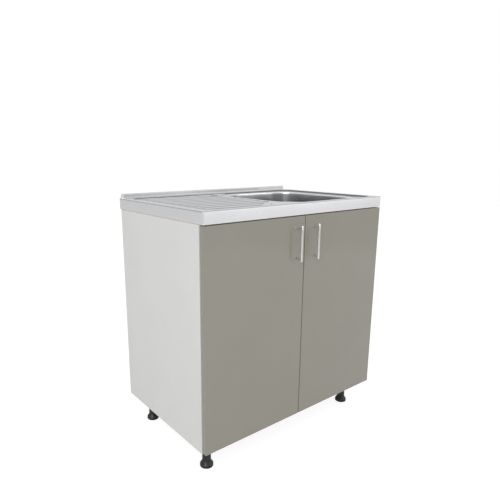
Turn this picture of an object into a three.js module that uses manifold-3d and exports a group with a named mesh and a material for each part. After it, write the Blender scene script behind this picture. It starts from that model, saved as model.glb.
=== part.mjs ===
// Kitchen sink unit: a two-door base cabinet on adjustable legs that carries a lay-on stainless sink.
// Millimetres, X to the right, Y to the back, Z up. The origin is on the floor, under the middle.
import * as THREE from "three";
import { mergeVertices } from "three/addons/utils/BufferGeometryUtils.js";
import Module from "manifold-3d";

// ---- Driving sizes ----

// Carcass of coated chipboard
const unitWidth = 800;
const carcassHeight = 704;
const carcassDepth = 480;
const board = 16;
const frontRailHeight = 100;
const rearRailHeight = 100;
const rearRailDrop = 120;
const clearance = 0.3;
const seatGap = 0.1;
const bite = 1;

// Legs
const legHeight = 100;
const legInsetX = 60;
const legInsetFront = 62;
const legInsetRear = 60;
const legFlangeRadius = 28;
const legFlange = 4;
const legSleeveRadius = 14.5;
const legStemRadius = 12;
const gussetSheet = 2.4;
const gussetHeight = 14;
const gussetInset = 2;
const footRadius = 22;
const footHeight = 10;
const footShoulder = 11;
const footChamfer = 1.5;

// Doors
const door = 16;
const doorStandOff = 2.5;
const doorSideReveal = 1.5;
const doorMiddleGap = 3;
const doorTopReveal = 3;
const doorBottomReveal = 3;
const bumperRadius = 4;
const bumperInset = 15;

// Bar handles
const handleInset = 38;
const handleDrop = 27;
const handleLength = 116;
const handleSpacing = 96;
const handleBarRadius = 4;
const handleChamfer = 0.6;
const handlePostRadius = 3.5;
const handleProjection = 25;
const handleScrewRadius = 2;
const handleScrewHead = 4.5;
const handleScrewReach = 9;
const handleScrewCap = 1.7;

// Concealed hinges
const hingeInset = 115;
const cupRadius = 17.5;
const cupDepth = 13;
const cupWall = 0.7;
const cupEdge = 3;
const cupFlange = 1.1;
const cupRim = 1.5;
const cupWingSpan = 62;
const cupWingWidth = 16;
const pinRadius = 1;
const knuckleRadius = 2;
const pivotInset = 6.8;
const pivotDepth = 10;
const armHeight = 19.3;
const armSheet = 2;
const armWidth = 10;
const channelWidth = 14;
const channelLength = 45;
const channelWall = 1.2;
const plateSetback = 37;
const plateSheet = 2;
const plateSpan = 50;
const plateWidth = 16;
const bossHeight = 9;
const armScrewRadius = 3;
const armScrewCap = 1.5;
const neckRise = 4;
const neckBow = 0.55;
const channelLead = 3;

// Sink pressed from one sheet
const sheet = 0.8;
const sinkOverhang = 1.5;
const skirtHeight = 38;
const skirtLip = 14;
const edgeRadius = 4;
const lipRadius = 2;
const cornerRadius = 4;
const sharpCorner = 1;
const ridgeDepth = 12;
const ridgeHeight = 15;
const ridgeRound = 3;
const ridgeFoot = 2;
const ridgeEnd = 4;
const rimWidth = 21;
const borderRadius = 36;
const borderStep = 5;
const fieldDrop = 3;
const fieldFall = 3;

// Drainer ribs
const ribCount = 10;
const ribWidth = 27.2;
const ribRadius = 8.5;
const ribHeight = 2.2;
const ribSlope = 3;
const ribMargin = 24;
const ribSideMargin = 25.95;
const ribBowlGap = 23.5;
const ribLedgeGap = 24;

// Ledges between the drainer and the bowl
const ledgeBowlGap = 33.8;
const ledgeHalfWidth = 104.8;
const ledgeDepth = 78;
const ledgeDrop = 2;
const ledgeSlope = 4;
const ledgeMargin = 1.5;
const tapHoleRadius = 17.5;
const tapHoleInset = 62;

// Bowl
const bowlHalfWidth = 182;
const bowlEndMargin = 47;
const bowlSideMargin = 42;
const bowlPower = 3.9;
const bowlDepth = 160;
const bowlLip = 5;
const bowlRoll = 0.25;
const bowlTaperX = 31;
const bowlTaperY = 47;
const bowlDraftShare = 0.22;
const bowlFilletHeight = 48;

// Waste and strainer
const drainOffset = -4;
const drainFall = 3;
const recessRadius = 61;
const recessDrop = 2.5;
const recessSlope = 2.5;
const drainRadius = 44.8;
const flangeRadius = 57;
const flangeSheet = 1.2;
const flangeBevel = 1;
const flangeCrown = 3;
const mouthInset = 2;
const mouthFall = 1;
const seatRadius = 41;
const seatDrop = 9;
const coneDrop = 4;
const cupSinkRadius = 38.5;
const cupSinkDepth = 42;
const outletRadius = 21;
const outletNeck = 16;
const outletLength = 70;
const outletWall = 1.8;
const gasketWidth = 11;
const gasketThickness = 2.5;
const clampHeight = 17;
const clampFlange = 3;
const clampWall = 5;
const clampTaper = 2;
const collarHeight = 3;
const outletNutWall = 4;
const outletNutGrip = 0.7;
const basketRadius = 44;
const basketSheet = 1;
const basketDish = 5;
const basketLip = 4;
const basketLipFall = 1;
const basketEdge = 0.6;
const basketFloorRadius = 21.5;
const slotCount = 18;
const spokeWidth = 5;
const slotInner = 23;
const slotOuter = 41.5;
const sealRadius = 24;
const sealThickness = 3;
const sealBevel = 2;
const stemRadius = 4;
const stemNut = 2;
const knobRadius = 14.7;
const knobRise = 1.5;
const knobHeight = 9;
const knobWaist = 3;
const knobTopRadius = 5;
const knobTop = 2;

// Clips that hold the sink down
const clipSheet = 2;
const clipWidth = 30;
const clipDrop = 34;
const clipHook = 9;
const clipInset = 90;
const clipSlotLength = 14;
const clipSlotTilt = Math.PI / 6;
const clipScrewRadius = 1.9;
const clipScrewHead = 4;
const clipScrewReach = 12;
const clipScrewCap = 2;

// Sides of the round pieces
const screwSides = 8;
const rodSides = 12;
const moulded = 16;
const cupSides = 16;
const cupBoreSides = 24;
const saddleSides = 20;
const knuckleSides = 10;
const wasteSides = 24;
const basketSides = 36;
const tapHoleSides = 24;

// ---- Levels and planes that follow ----

const innerHalf = unitWidth / 2 - board;
const carcassTop = legHeight + carcassHeight;
const doorBack = -doorStandOff;
const doorFront = doorBack - door;
const doorHeight = carcassHeight - doorTopReveal - doorBottomReveal;
const doorWidth = (unitWidth - doorMiddleGap) / 2 - doorSideReveal;
const doorBottom = legHeight + doorBottomReveal;
const doorTop = doorBottom + doorHeight;
const doorOuter = unitWidth / 2 - doorSideReveal;
const handleX = doorMiddleGap / 2 + handleInset;
const handleZ = doorTop - handleDrop - handleLength / 2;
const handleAxis = doorFront - handleProjection;
const rimLevel = carcassTop + skirtHeight;
const sinkFront = doorFront - sinkOverhang;
const deckDepth = carcassDepth - sinkFront;
const sinkMiddle = sinkFront + deckDepth / 2;
const unitFront = handleAxis - handleBarRadius;
const unitBack = carcassDepth + ridgeDepth;
const borderHalfX = unitWidth / 2 - rimWidth;
const borderHalfY = deckDepth / 2 - rimWidth;
const ribPitch = (2 * (borderHalfY - ribSideMargin) - ribWidth) / (ribCount - 1);
const bowlCentre = unitWidth / 2 - bowlEndMargin - bowlHalfWidth;
const bowlHalfDepth = deckDepth / 2 - bowlSideMargin;
const ledgeCentre = bowlCentre - bowlHalfWidth - ledgeBowlGap;
const bowlFloor = -bowlDepth;
const drainSeat = bowlFloor - drainFall - recessDrop;
const drainX = bowlCentre + drainOffset;

// ---- Materials ----

const finish = (color, roughness, metalness) =>
  new THREE.MeshStandardMaterial({ color, roughness, metalness });
const melamine = finish("#d3d3d0", 0.6, 0);
const lacquer = finish("#97958a", 0.15, 0);
const stainless = finish("#d6d7d8", 0.3, 1);
const satinSteel = finish("#cfcdca", 0.25, 1);
const nickel = finish("#b9bbbd", 0.3, 1);
const blackPlastic = finish("#232323", 0.5, 0);
const whitePlastic = finish("#e6e6e3", 0.45, 0);
const rubber = finish("#2b2c2d", 0.8, 0);
const softClear = finish("#dfe3e4", 0.3, 0);

// ---- Solid helpers ----

const wasm = await Module();
wasm.setup();

// Turns a closed geometry into a solid that can be cut and joined.
function toSolid(geometry) {
  const bare = geometry.clone();
  bare.deleteAttribute("normal");
  bare.deleteAttribute("uv");
  const merged = mergeVertices(bare, 1e-4);
  return new wasm.Manifold(
    new wasm.Mesh({
      numProp: 3,
      vertProperties: merged.attributes.position.array,
      triVerts: new Uint32Array(merged.index.array),
    }),
  );
}

// Turns a cut or joined solid back into a geometry.
function toGeometry(solid) {
  const mesh = solid.getMesh();
  const positions = new Float32Array(mesh.numVert * 3);
  for (let i = 0; i < mesh.numVert; i++) {
    const start = i * mesh.numProp;
    positions.set(mesh.vertProperties.subarray(start, start + 3), i * 3);
  }
  return new THREE.BufferGeometry()
    .setAttribute("position", new THREE.BufferAttribute(positions, 3))
    .setIndex(new THREE.BufferAttribute(mesh.triVerts, 1));
}

const cut = (geometry, tools) =>
  toGeometry(tools.reduce((solid, tool) => solid.subtract(toSolid(tool)), toSolid(geometry)));

const join = (pieces) =>
  toGeometry(pieces.map(toSolid).reduce((whole, piece) => whole.add(piece)));

function box(x0, x1, y0, y1, z0, z1) {
  const block = new THREE.BoxGeometry(x1 - x0, y1 - y0, z1 - z0);
  return block.translate((x0 + x1) / 2, (y0 + y1) / 2, (z0 + z1) / 2);
}

// A solid of revolution about Z, from a profile of [radius, height] pairs that runs upwards outside.
function turned(profile, segments) {
  const points = profile.map(([radius, height]) => new THREE.Vector2(radius, height));
  return new THREE.LatheGeometry(points, segments).rotateX(Math.PI / 2);
}

// A closed ring: the profile runs round a hollow middle and ends where it starts.
const turnedRing = (profile, segments) => turned([...profile, profile[0]], segments);

// A cylinder along Y from y0 to y1.
function rodY(radius, y0, y1, segments) {
  const rod = new THREE.CylinderGeometry(radius, radius, y1 - y0, segments);
  return rod.translate(0, (y0 + y1) / 2, 0);
}

// A cylinder along X from x0 to x1.
function rodX(radius, x0, x1, segments) {
  const rod = new THREE.CylinderGeometry(radius, radius, x1 - x0, segments);
  return rod.rotateZ(-Math.PI / 2).translate((x0 + x1) / 2, 0, 0);
}

// A flat outline drawn in X and Y, extruded along Z about the middle.
function slab(shape, thickness, curveSegments = 5) {
  const options = { depth: thickness, bevelEnabled: false, curveSegments };
  const solid = new THREE.ExtrudeGeometry(shape, options);
  return solid.translate(0, 0, -thickness / 2);
}

// The same piece for the other side of the cabinet.
function mirrored(geometry) {
  const copy = geometry.index ? geometry.clone() : mergeVertices(geometry.clone());
  copy.scale(-1, 1, 1);
  const index = copy.index.array.slice();
  for (let i = 0; i < index.length; i += 3) {
    [index[i + 1], index[i + 2]] = [index[i + 2], index[i + 1]];
  }
  return copy.setIndex(new THREE.BufferAttribute(index, 1));
}

const handed = (side, geometry) => (side < 0 ? geometry : mirrored(geometry));

const unit = new THREE.Group();
unit.position.y = -(unitFront + unitBack) / 2;

function place(name, geometry, material, x = 0, y = 0, z = 0) {
  const mesh = new THREE.Mesh(geometry, material);
  mesh.name = name;
  mesh.position.set(x, y, z);
  unit.add(mesh);
}

const sides = [
  { name: "left", sign: -1 },
  { name: "right", sign: 1 },
];

// ---- Carcass ----

const clipY = [clipInset, carcassDepth - clipInset];
const clipScrewZ = carcassTop - clipDrop / 2;

function sidePanel() {
  const panel = box(-unitWidth / 2, -innerHalf, 0, carcassDepth, legHeight, carcassTop);
  const reach = clipScrewReach + clearance;
  const pilots = clipY.map((y) =>
    rodX(clipScrewRadius + clearance, -reach, bite, screwSides).translate(-innerHalf, y, clipScrewZ),
  );
  return cut(panel, pilots);
}

function buildCarcass() {
  for (const { name, sign } of sides) {
    place(name + "_side_panel", handed(sign, sidePanel()), melamine);
  }
  const rearRailTop = carcassTop - rearRailDrop;
  const between = (y0, y1, z0, z1) => box(-innerHalf, innerHalf, y0, y1, z0, z1);
  place("bottom_panel", between(0, carcassDepth, legHeight, legHeight + board), melamine);
  place("front_rail", between(0, board, carcassTop - frontRailHeight, carcassTop), melamine);
  place(
    "rear_rail",
    between(carcassDepth - board, carcassDepth, rearRailTop - rearRailHeight, rearRailTop),
    melamine,
  );
}

// ---- Legs ----

const sleeveBottom = footHeight + footShoulder + clearance;
const stemTop = legHeight - legFlange - 2 * clearance;

// A screw-on socket: a round flange, a sleeve that is open below and four gussets.
function legSocket() {
  const bore = legStemRadius + clearance;
  const flangeUnder = legHeight - legFlange;
  const body = turned(
    [
      [0, flangeUnder],
      [bore, flangeUnder],
      [bore, sleeveBottom],
      [legSleeveRadius, sleeveBottom],
      [legSleeveRadius, flangeUnder],
      [legFlangeRadius, flangeUnder],
      [legFlangeRadius, legHeight],
      [0, legHeight],
    ],
    moulded,
  );
  const outline = new THREE.Shape([
    new THREE.Vector2(legSleeveRadius - bite, flangeUnder + bite),
    new THREE.Vector2(legSleeveRadius - bite, flangeUnder - gussetHeight),
    new THREE.Vector2(legFlangeRadius - gussetInset, flangeUnder + bite),
  ]);
  const gusset = slab(outline, gussetSheet).rotateX(Math.PI / 2);
  const turns = [1, 3, 5, 7].map((eighth) => gusset.clone().rotateZ((eighth * Math.PI) / 4));
  return join([body, ...turns]);
}

// The foot screws in the socket: a tread with a tapered shoulder below a plain stem.
function legFoot() {
  return turned(
    [
      [0, 0],
      [footRadius - footChamfer, 0],
      [footRadius, footChamfer],
      [footRadius, footHeight],
      [legSleeveRadius, footHeight + footShoulder],
      [legStemRadius, footHeight + footShoulder],
      [legStemRadius, stemTop],
      [0, stemTop],
    ],
    moulded,
  );
}

function buildLegs() {
  const rows = [
    { name: "front", y: legInsetFront },
    { name: "rear", y: carcassDepth - legInsetRear },
  ];
  for (const row of rows) {
    for (const { name, sign } of sides) {
      const x = sign * (unitWidth / 2 - legInsetX);
      place(row.name + "_" + name + "_leg_socket", legSocket(), blackPlastic, x, row.y);
      place(row.name + "_" + name + "_foot", legFoot(), blackPlastic, x, row.y);
    }
  }
}

// ---- Doors and handles ----

const levels = [
  { name: "upper", hingeZ: doorTop - hingeInset, handleSign: 1, bumperZ: doorTop - bumperInset },
  { name: "lower", hingeZ: doorBottom + hingeInset, handleSign: -1, bumperZ: legHeight + board / 2 },
];

const pinX = doorOuter - pivotInset;
const pinY = doorBack - pivotDepth;
const cupX = doorOuter - cupEdge - cupRadius;
const postZ = (level) => handleZ + (level.handleSign * handleSpacing) / 2;

function doorLeaf() {
  const leaf = box(-doorOuter, -doorOuter + doorWidth, doorFront, doorBack, doorBottom, doorTop);
  const tools = [];
  for (const level of levels) {
    const cup = rodY(cupRadius + clearance, -cupDepth - clearance, bite, cupBoreSides);
    tools.push(cup.translate(-cupX, doorBack, level.hingeZ));
    const drill = handleScrewRadius + clearance;
    const hole = rodY(drill, doorFront - bite, doorBack + bite, screwSides);
    tools.push(hole.translate(-handleX, 0, postZ(level)));
  }
  return cut(leaf, tools);
}

// The bar lies along Z with small chamfers on its ends.
function handleBar() {
  const half = handleLength / 2;
  return turned(
    [
      [0, -half],
      [handleBarRadius - handleChamfer, -half],
      [handleBarRadius, handleChamfer - half],
      [handleBarRadius, half - handleChamfer],
      [handleBarRadius - handleChamfer, half],
      [0, half],
    ],
    rodSides,
  );
}

// A post from the door to the bar, saddled to the bar and tapped for its screw.
function handlePost() {
  const post = rodY(handlePostRadius, handleAxis, doorFront, rodSides);
  const seat = handleBarRadius + clearance;
  const saddle = new THREE.CylinderGeometry(seat, seat, handleSpacing / 2, saddleSides);
  const tapped = rodY(
    handleScrewRadius + clearance,
    doorFront - handleScrewReach - clearance,
    doorFront + bite,
    screwSides,
  );
  return cut(post, [saddle.rotateX(Math.PI / 2).translate(0, handleAxis, 0), tapped]);
}

function handleScrew() {
  const tip = doorFront - handleScrewReach;
  const shank = rodY(handleScrewRadius, tip, doorBack + bite, screwSides);
  const head = rodY(handleScrewHead, doorBack, doorBack + handleScrewCap, screwSides);
  return join([shank, head]);
}

function buildDoors() {
  const bumperX = doorMiddleGap / 2 + handleInset / 2;
  for (const { name, sign } of sides) {
    place(name + "_door", handed(sign, doorLeaf()), lacquer);
    place(name + "_handle_bar", handleBar(), satinSteel, sign * handleX, handleAxis, handleZ);
    for (const level of levels) {
      const tail = "_" + level.name;
      const z = postZ(level);
      place(name + "_handle_post" + tail, handlePost(), satinSteel, sign * handleX, 0, z);
      place(name + "_handle_screw" + tail, handleScrew(), nickel, sign * handleX, 0, z);
      place(
        name + "_door_bumper" + tail,
        rodY(bumperRadius, doorBack, doorBack + doorStandOff - clearance, rodSides),
        softClear,
        sign * bumperX,
        0,
        level.bumperZ,
      );
    }
  }
}

// ---- Concealed hinges ----
// Each hinge is drawn about its pin: X towards the middle of the door, Y towards the inside.

const panelFace = board - doorSideReveal - pivotInset;
const panelFront = pivotDepth + doorStandOff;
const cupOffset = cupEdge + cupRadius - pivotInset;
const webX = panelFace + armHeight;
const neckEnd = panelFront + neckRise;
const channelStart = neckEnd + channelLead;
const channelEnd = neckEnd + channelLength;
const hingeMiddle = panelFront + plateSetback;

// The cup in the door: a pressed pot with a rim, two screw wings, and the pin across the pot.
function hingeCup() {
  const inner = cupRadius - cupWall;
  const rim = cupRadius + cupRim;
  const pot = turned(
    [
      [0, -cupDepth],
      [cupRadius, -cupDepth],
      [cupRadius, seatGap],
      [rim, seatGap],
      [rim, seatGap + cupFlange],
      [inner, seatGap + cupFlange],
      [inner, cupWall - cupDepth],
      [0, cupWall - cupDepth],
    ],
    cupSides,
  ).rotateX(-Math.PI / 2);
  const wing = new THREE.Shape();
  const round = cupWingWidth / 2;
  wing.moveTo(-round, cupRadius - cupRim);
  wing.lineTo(round, cupRadius - cupRim);
  wing.absarc(0, cupWingSpan / 2 - round, round, 0, Math.PI);
  const tab = slab(wing, cupFlange).rotateX(Math.PI / 2).translate(0, seatGap + cupFlange / 2, 0);
  const pinHalf = Math.sqrt(inner ** 2 - cupOffset ** 2) - cupWall / 2;
  const pin = new THREE.CylinderGeometry(pinRadius, pinRadius, 2 * pinHalf, screwSides);
  pin.rotateX(Math.PI / 2).translate(-cupOffset, -pivotDepth, 0);
  return join([pot, tab, tab.clone().rotateY(Math.PI), pin]).translate(cupOffset, pivotDepth, 0);
}

// The bent neck as an outline: a curve from the pin to the channel, thickened both ways.
function neckShape() {
  const curve = new THREE.CubicBezierCurve(
    new THREE.Vector2(0, 0),
    new THREE.Vector2(webX * neckBow, -armSheet),
    new THREE.Vector2(webX, -armSheet),
    new THREE.Vector2(webX, panelFront),
  );
  const outer = [];
  const inner = [];
  const steps = 8;
  for (let i = 0; i <= steps; i++) {
    const point = curve.getPoint(i / steps);
    const along = curve.getTangent(i / steps);
    const aside = new THREE.Vector2(-along.y, along.x).multiplyScalar(armSheet / 2);
    outer.push(point.clone().sub(aside));
    inner.unshift(point.clone().add(aside));
  }
  const half = armSheet / 2;
  outer.push(new THREE.Vector2(webX + half, neckEnd), new THREE.Vector2(webX - half, neckEnd));
  return new THREE.Shape([...outer, ...inner]);
}

// The arm: a knuckle on the pin, a bent neck and a channel that straddles the mounting plate.
function hingeArm() {
  const half = channelWidth / 2;
  const web = [webX - armSheet / 2, webX + armSheet / 2];
  const wallFoot = panelFace + plateSheet + clearance;
  const round = [knuckleRadius, knuckleRadius, armWidth, knuckleSides];
  const knuckle = new THREE.CylinderGeometry(...round);
  const hollow = pinRadius + clearance;
  const bore = new THREE.CylinderGeometry(hollow, hollow, 2 * armWidth, screwSides);
  const screwFoot = panelFace + bossHeight + clearance;
  const screw = rodX(armScrewRadius, screwFoot, web[1] + armScrewCap, knuckleSides);
  return cut(
    join([
      knuckle.rotateX(Math.PI / 2),
      slab(neckShape(), armWidth),
      box(...web, neckEnd - bite, channelEnd, -half, half),
      box(wallFoot, web[1], channelStart, channelEnd, -half, channelWall - half),
      box(wallFoot, web[1], channelStart, channelEnd, half - channelWall, half),
      screw.translate(0, hingeMiddle, 0),
    ]),
    [bore.rotateX(Math.PI / 2)],
  );
}

// The mounting plate: a cross plate on the panel with a raised boss between the channel's walls.
function hingePlate() {
  const bossHalf = channelWidth / 2 - channelWall - clearance;
  const wing = plateWidth / 2;
  const half = plateSpan / 2;
  const across = [hingeMiddle - wing, hingeMiddle + wing];
  return join([
    box(panelFace, panelFace + plateSheet, ...across, -half, half),
    box(panelFace, panelFace + bossHeight, channelStart, channelEnd, -bossHalf, bossHalf),
  ]);
}

function buildHinges() {
  for (const { name, sign } of sides) {
    for (const level of levels) {
      const put = (piece, geometry) =>
        place(
          name + "_hinge_" + piece + "_" + level.name,
          handed(sign, geometry),
          nickel,
          sign * pinX,
          pinY,
          level.hingeZ,
        );
      put("cup", hingeCup());
      put("arm", hingeArm());
      put("plate", hingePlate());
    }
  }
}

// ---- Sink ----
// The sink is drawn as the upper skin of its sheet, in loops of points that run counter-clockwise
// from above. Its X and Y start at the middle of the deck, and its Z at the rim.

class Skin {
  points = [];
  triangles = [];

  loop(points) {
    const first = this.points.length;
    this.points.push(...points);
    return points.map((_, i) => first + i);
  }

  // Joins two loops of the same count, the inner one first.
  band(inner, outer) {
    inner.forEach((_, i) => {
      const next = (i + 1) % inner.length;
      this.triangles.push([inner[i], outer[i], outer[next]]);
      this.triangles.push([inner[i], outer[next], inner[next]]);
    });
  }

  // Fills an area that lies open to above, round the holes in it.
  fill(outer, holes = []) {
    const flat = (loop) => loop.map((i) => new THREE.Vector2(this.points[i].x, this.points[i].y));
    const all = [outer, ...holes].flat();
    const flatAll = flat(all);
    for (const face of THREE.ShapeUtils.triangulateShape(flat(outer), holes.map(flat))) {
      const [a, b, c] = face.map((i) => flatAll[i]);
      const turn = (b.x - a.x) * (c.y - a.y) - (b.y - a.y) * (c.x - a.x);
      const [i, j, k] = face.map((at) => all[at]);
      this.triangles.push(turn > 0 ? [i, j, k] : [i, k, j]);
    }
  }

  // Gives the skin its thickness: a copy of it inwards, and a wall along each free edge.
  solid(thickness) {
    const count = this.points.length;
    const normals = this.points.map(() => new THREE.Vector3());
    for (const face of this.triangles) {
      const [a, b, c] = face.map((i) => this.points[i]);
      const normal = b.clone().sub(a).cross(c.clone().sub(a));
      face.forEach((i) => normals[i].add(normal));
    }
    const under = this.points.map((point, i) =>
      point.clone().addScaledVector(normals[i].normalize(), -thickness),
    );
    const lower = this.triangles.map(([a, b, c]) => [a + count, c + count, b + count]);
    const faces = [...this.triangles, ...lower];
    const edges = this.triangles.flatMap(([a, b, c]) => [[a, b], [b, c], [c, a]]);
    const known = new Set(edges.map(([a, b]) => a + "," + b));
    for (const [a, b] of edges.filter(([from, to]) => !known.has(to + "," + from))) {
      faces.push([b, a, a + count], [b, a + count, b + count]);
    }
    const positions = [...this.points, ...under].flatMap((point) => point.toArray());
    return new THREE.BufferGeometry()
      .setAttribute("position", new THREE.Float32BufferAttribute(positions, 3))
      .setIndex(faces.flat());
  }
}

const at = (x, y, z) => new THREE.Vector3(x, y, z);
const cornerSteps = 3;
const borderSteps = 5;
const bowlSteps = 36;
const fieldLevel = (x) => -fieldDrop - (fieldFall * (x + borderHalfX)) / (2 * borderHalfX);

// A rectangle with rounded corners, counter-clockwise from its front right corner.
function roundedOutline(x0, x1, y0, y1, radius, steps) {
  const corners = [
    [x1 - radius, y0 + radius, -Math.PI / 2],
    [x1 - radius, y1 - radius, 0],
    [x0 + radius, y1 - radius, Math.PI / 2],
    [x0 + radius, y0 + radius, Math.PI],
  ];
  return corners.flatMap(([x, y, start]) =>
    Array.from({ length: steps + 1 }, (_, i) => {
      const angle = start + ((i / steps) * Math.PI) / 2;
      return { x: x + radius * Math.cos(angle), y: y + radius * Math.sin(angle) };
    }),
  );
}

const raise = (outline, level) => outline.map(({ x, y }) => at(x, y, level(x)));

// The sheet's edge as [inset from the outer face, level] pairs, from the deck over the rim, down
// the skirt and in along the lip. The first list is for the plain sides, the second for the ridge.
function edgeProfiles() {
  const bend = (radius, level) => [
    [radius * (1 - Math.SQRT1_2), level - radius * (1 - Math.SQRT1_2)],
    [0, level - radius],
  ];
  const skirt = [
    [0, lipRadius - skirtHeight],
    [lipRadius * (1 - Math.SQRT1_2), lipRadius * (1 - Math.SQRT1_2) - skirtHeight],
    [lipRadius, -skirtHeight],
    [skirtLip, -skirtHeight],
  ];
  const flat = [ridgeDepth + ridgeFoot, ridgeDepth, ridgeDepth - ridgeFoot / 2];
  flat.push(edgeRadius + ridgeRound, edgeRadius);
  const plain = [...flat.map((inset) => [inset, 0]), ...bend(edgeRadius, 0), ...skirt];
  const ridge = [
    [ridgeDepth + ridgeFoot, 0],
    [ridgeDepth, ridgeFoot],
    [ridgeDepth, ridgeHeight - ridgeRound],
    [ridgeDepth - ridgeRound, ridgeHeight],
    [ridgeRound, ridgeHeight],
    ...bend(ridgeRound, ridgeHeight),
    ...skirt,
  ];
  return { plain, ridge };
}

// Adds the rim's edge and returns the loop where it meets the flat of the deck.
function addEdge(skin) {
  const [front, back] = [-deckDepth / 2, deckDepth / 2 + ridgeDepth];
  const half = unitWidth / 2;
  const { plain, ridge } = edgeProfiles();
  const loops = plain.map(([inset, level], i) => {
    const radius = Math.max(cornerRadius - inset, sharpCorner);
    const outline = roundedOutline(
      inset - half,
      half - inset,
      front + inset,
      back - inset,
      radius,
      cornerSteps,
    );
    const points = raise(outline, () => level);
    const [ridgeInset, ridgeLevel] = ridge[i];
    const ridgeHalf = half - inset - radius - ridgeEnd;
    const crest = (x) => at(x, back - ridgeInset, ridgeLevel);
    points.splice(2 * (cornerSteps + 1), 0, crest(ridgeHalf), crest(-ridgeHalf));
    return skin.loop(points);
  });
  loops.slice(1).forEach((outer, i) => skin.band(loops[i], outer));
  return loops[0];
}

// Right end of the rib whose outer long edge lies at y: short of the bowl and of the ledge's curve.
function ribEnd(y) {
  const long = bowlCentre - bowlHalfWidth - ribBowlGap;
  const share = (borderHalfY - y - ribLedgeGap) / ledgeDepth;
  if (share >= 1) return long;
  const reach = (Math.acos(Math.sqrt(Math.max(share, 0))) * 2) / Math.PI;
  return Math.min(long, ledgeCentre - ledgeHalfWidth * reach);
}

// Adds one raised rib and returns its foot.
function addRib(skin, row) {
  const y = (row - (ribCount - 1) / 2) * ribPitch;
  const x1 = ribEnd(Math.abs(y) + ribWidth / 2);
  const outline = (inset) =>
    roundedOutline(
      ribMargin - borderHalfX + inset,
      x1 - inset,
      y - ribWidth / 2 + inset,
      y + ribWidth / 2 - inset,
      ribRadius - inset,
      cornerSteps,
    );
  const foot = skin.loop(raise(outline(0), fieldLevel));
  const top = skin.loop(raise(outline(ribSlope), (x) => fieldLevel(x) + ribHeight));
  skin.band(top, foot);
  skin.fill(top);
  return foot;
}

// The bell-shaped outline of a ledge that grows in from the long border, shrunk by an inset.
function ledgeOutline(side, inset) {
  const back = borderHalfY - borderStep - ledgeMargin - inset;
  const depth = ledgeDepth - inset;
  const reach = (2 / Math.PI) * Math.acos(Math.sqrt((borderHalfY - back) / depth));
  const steps = 18;
  const points = Array.from({ length: steps + 1 }, (_, i) => {
    const share = (2 * i) / steps - 1;
    const swell = Math.cos((share * reach * Math.PI) / 2) ** 2;
    const x = ledgeCentre + share * reach * (ledgeHalfWidth - inset);
    return at(x, side * (borderHalfY - depth * swell), 0);
  });
  return side > 0 ? points : points.reverse();
}

function addLedge(skin, side) {
  const foot = skin.loop(raise(ledgeOutline(side, 0), fieldLevel));
  const top = skin.loop(raise(ledgeOutline(side, ledgeSlope), () => -ledgeDrop));
  skin.band(top, foot);
  const holes = side > 0 ? [addTapHole(skin)] : [];
  skin.fill(top, holes);
  return foot;
}

const circle = (x, y, radius, level, steps) =>
  Array.from({ length: steps }, (_, i) => {
    const angle = (2 * Math.PI * i) / steps;
    return at(x + radius * Math.cos(angle), y + radius * Math.sin(angle), level);
  });

function addTapHole(skin) {
  const y = deckDepth / 2 - tapHoleInset;
  return skin.loop(circle(ledgeCentre, y, tapHoleRadius, -ledgeDrop, tapHoleSides));
}

// One ring of the bowl: a superellipse sampled at even angles.
function bowlRing(halfX, halfY, level) {
  return Array.from({ length: bowlSteps }, (_, i) => {
    const angle = (2 * Math.PI * i) / bowlSteps;
    const [c, s] = [Math.cos(angle), Math.sin(angle)];
    const sum = Math.abs(c / halfX) ** bowlPower + Math.abs(s / halfY) ** bowlPower;
    const radius = sum ** (-1 / bowlPower);
    const x = bowlCentre + radius * c;
    return at(x, radius * s, level(x));
  });
}

// The bowl's wall as [share of the taper, level] pairs: a steep draft and a round fillet.
function bowlProfile() {
  const top = -fieldDrop - fieldFall - bowlLip;
  const filletTop = bowlFloor + bowlFilletHeight;
  const wall = [
    [0, top],
    [bowlDraftShare / 2, (top + filletTop) / 2],
  ];
  const steps = 4;
  for (let step = 0; step <= steps; step++) {
    const angle = (step * Math.PI) / 2 / steps;
    const share = bowlDraftShare + (1 - bowlDraftShare) * (1 - Math.cos(angle));
    wall.push([share, filletTop - bowlFilletHeight * Math.sin(angle)]);
  }
  return wall;
}

// Adds the bowl with its sloping floor and drain, and returns its edge in the field.
function addBowl(skin) {
  const edge = skin.loop(bowlRing(bowlHalfWidth + bowlLip, bowlHalfDepth + bowlLip, fieldLevel));
  const dip = bowlRoll * bowlLip;
  const roll = skin.loop(
    bowlRing(bowlHalfWidth + dip, bowlHalfDepth + dip, (x) => fieldLevel(x) - dip),
  );
  const wall = bowlProfile().map(([share, level]) => {
    const [halfX, halfY] = [bowlHalfWidth - share * bowlTaperX, bowlHalfDepth - share * bowlTaperY];
    return skin.loop(bowlRing(halfX, halfY, () => level));
  });
  const drain = [
    [recessRadius, bowlFloor - drainFall],
    [recessRadius - recessSlope, drainSeat],
    [drainRadius, drainSeat],
  ].map(([radius, level]) => skin.loop(circle(drainX, 0, radius, level, bowlSteps)));
  const rings = [edge, roll, ...wall, ...drain];
  rings.slice(1).forEach((inner, i) => skin.band(inner, rings[i]));
  return edge;
}

function sinkTop() {
  const skin = new Skin();
  const deck = addEdge(skin);
  const border = (inset) =>
    roundedOutline(
      inset - borderHalfX,
      borderHalfX - inset,
      inset - borderHalfY,
      borderHalfY - inset,
      borderRadius - inset,
      borderSteps,
    );
  const rimLoop = skin.loop(raise(border(0), () => 0));
  const fieldLoop = skin.loop(raise(border(borderStep), fieldLevel));
  skin.fill(deck, [rimLoop]);
  skin.band(fieldLoop, rimLoop);
  const ribs = Array.from({ length: ribCount }, (_, row) => addRib(skin, row));
  skin.fill(fieldLoop, [...ribs, addLedge(skin, 1), addLedge(skin, -1), addBowl(skin)]);
  return skin.solid(sheet);
}

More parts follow.
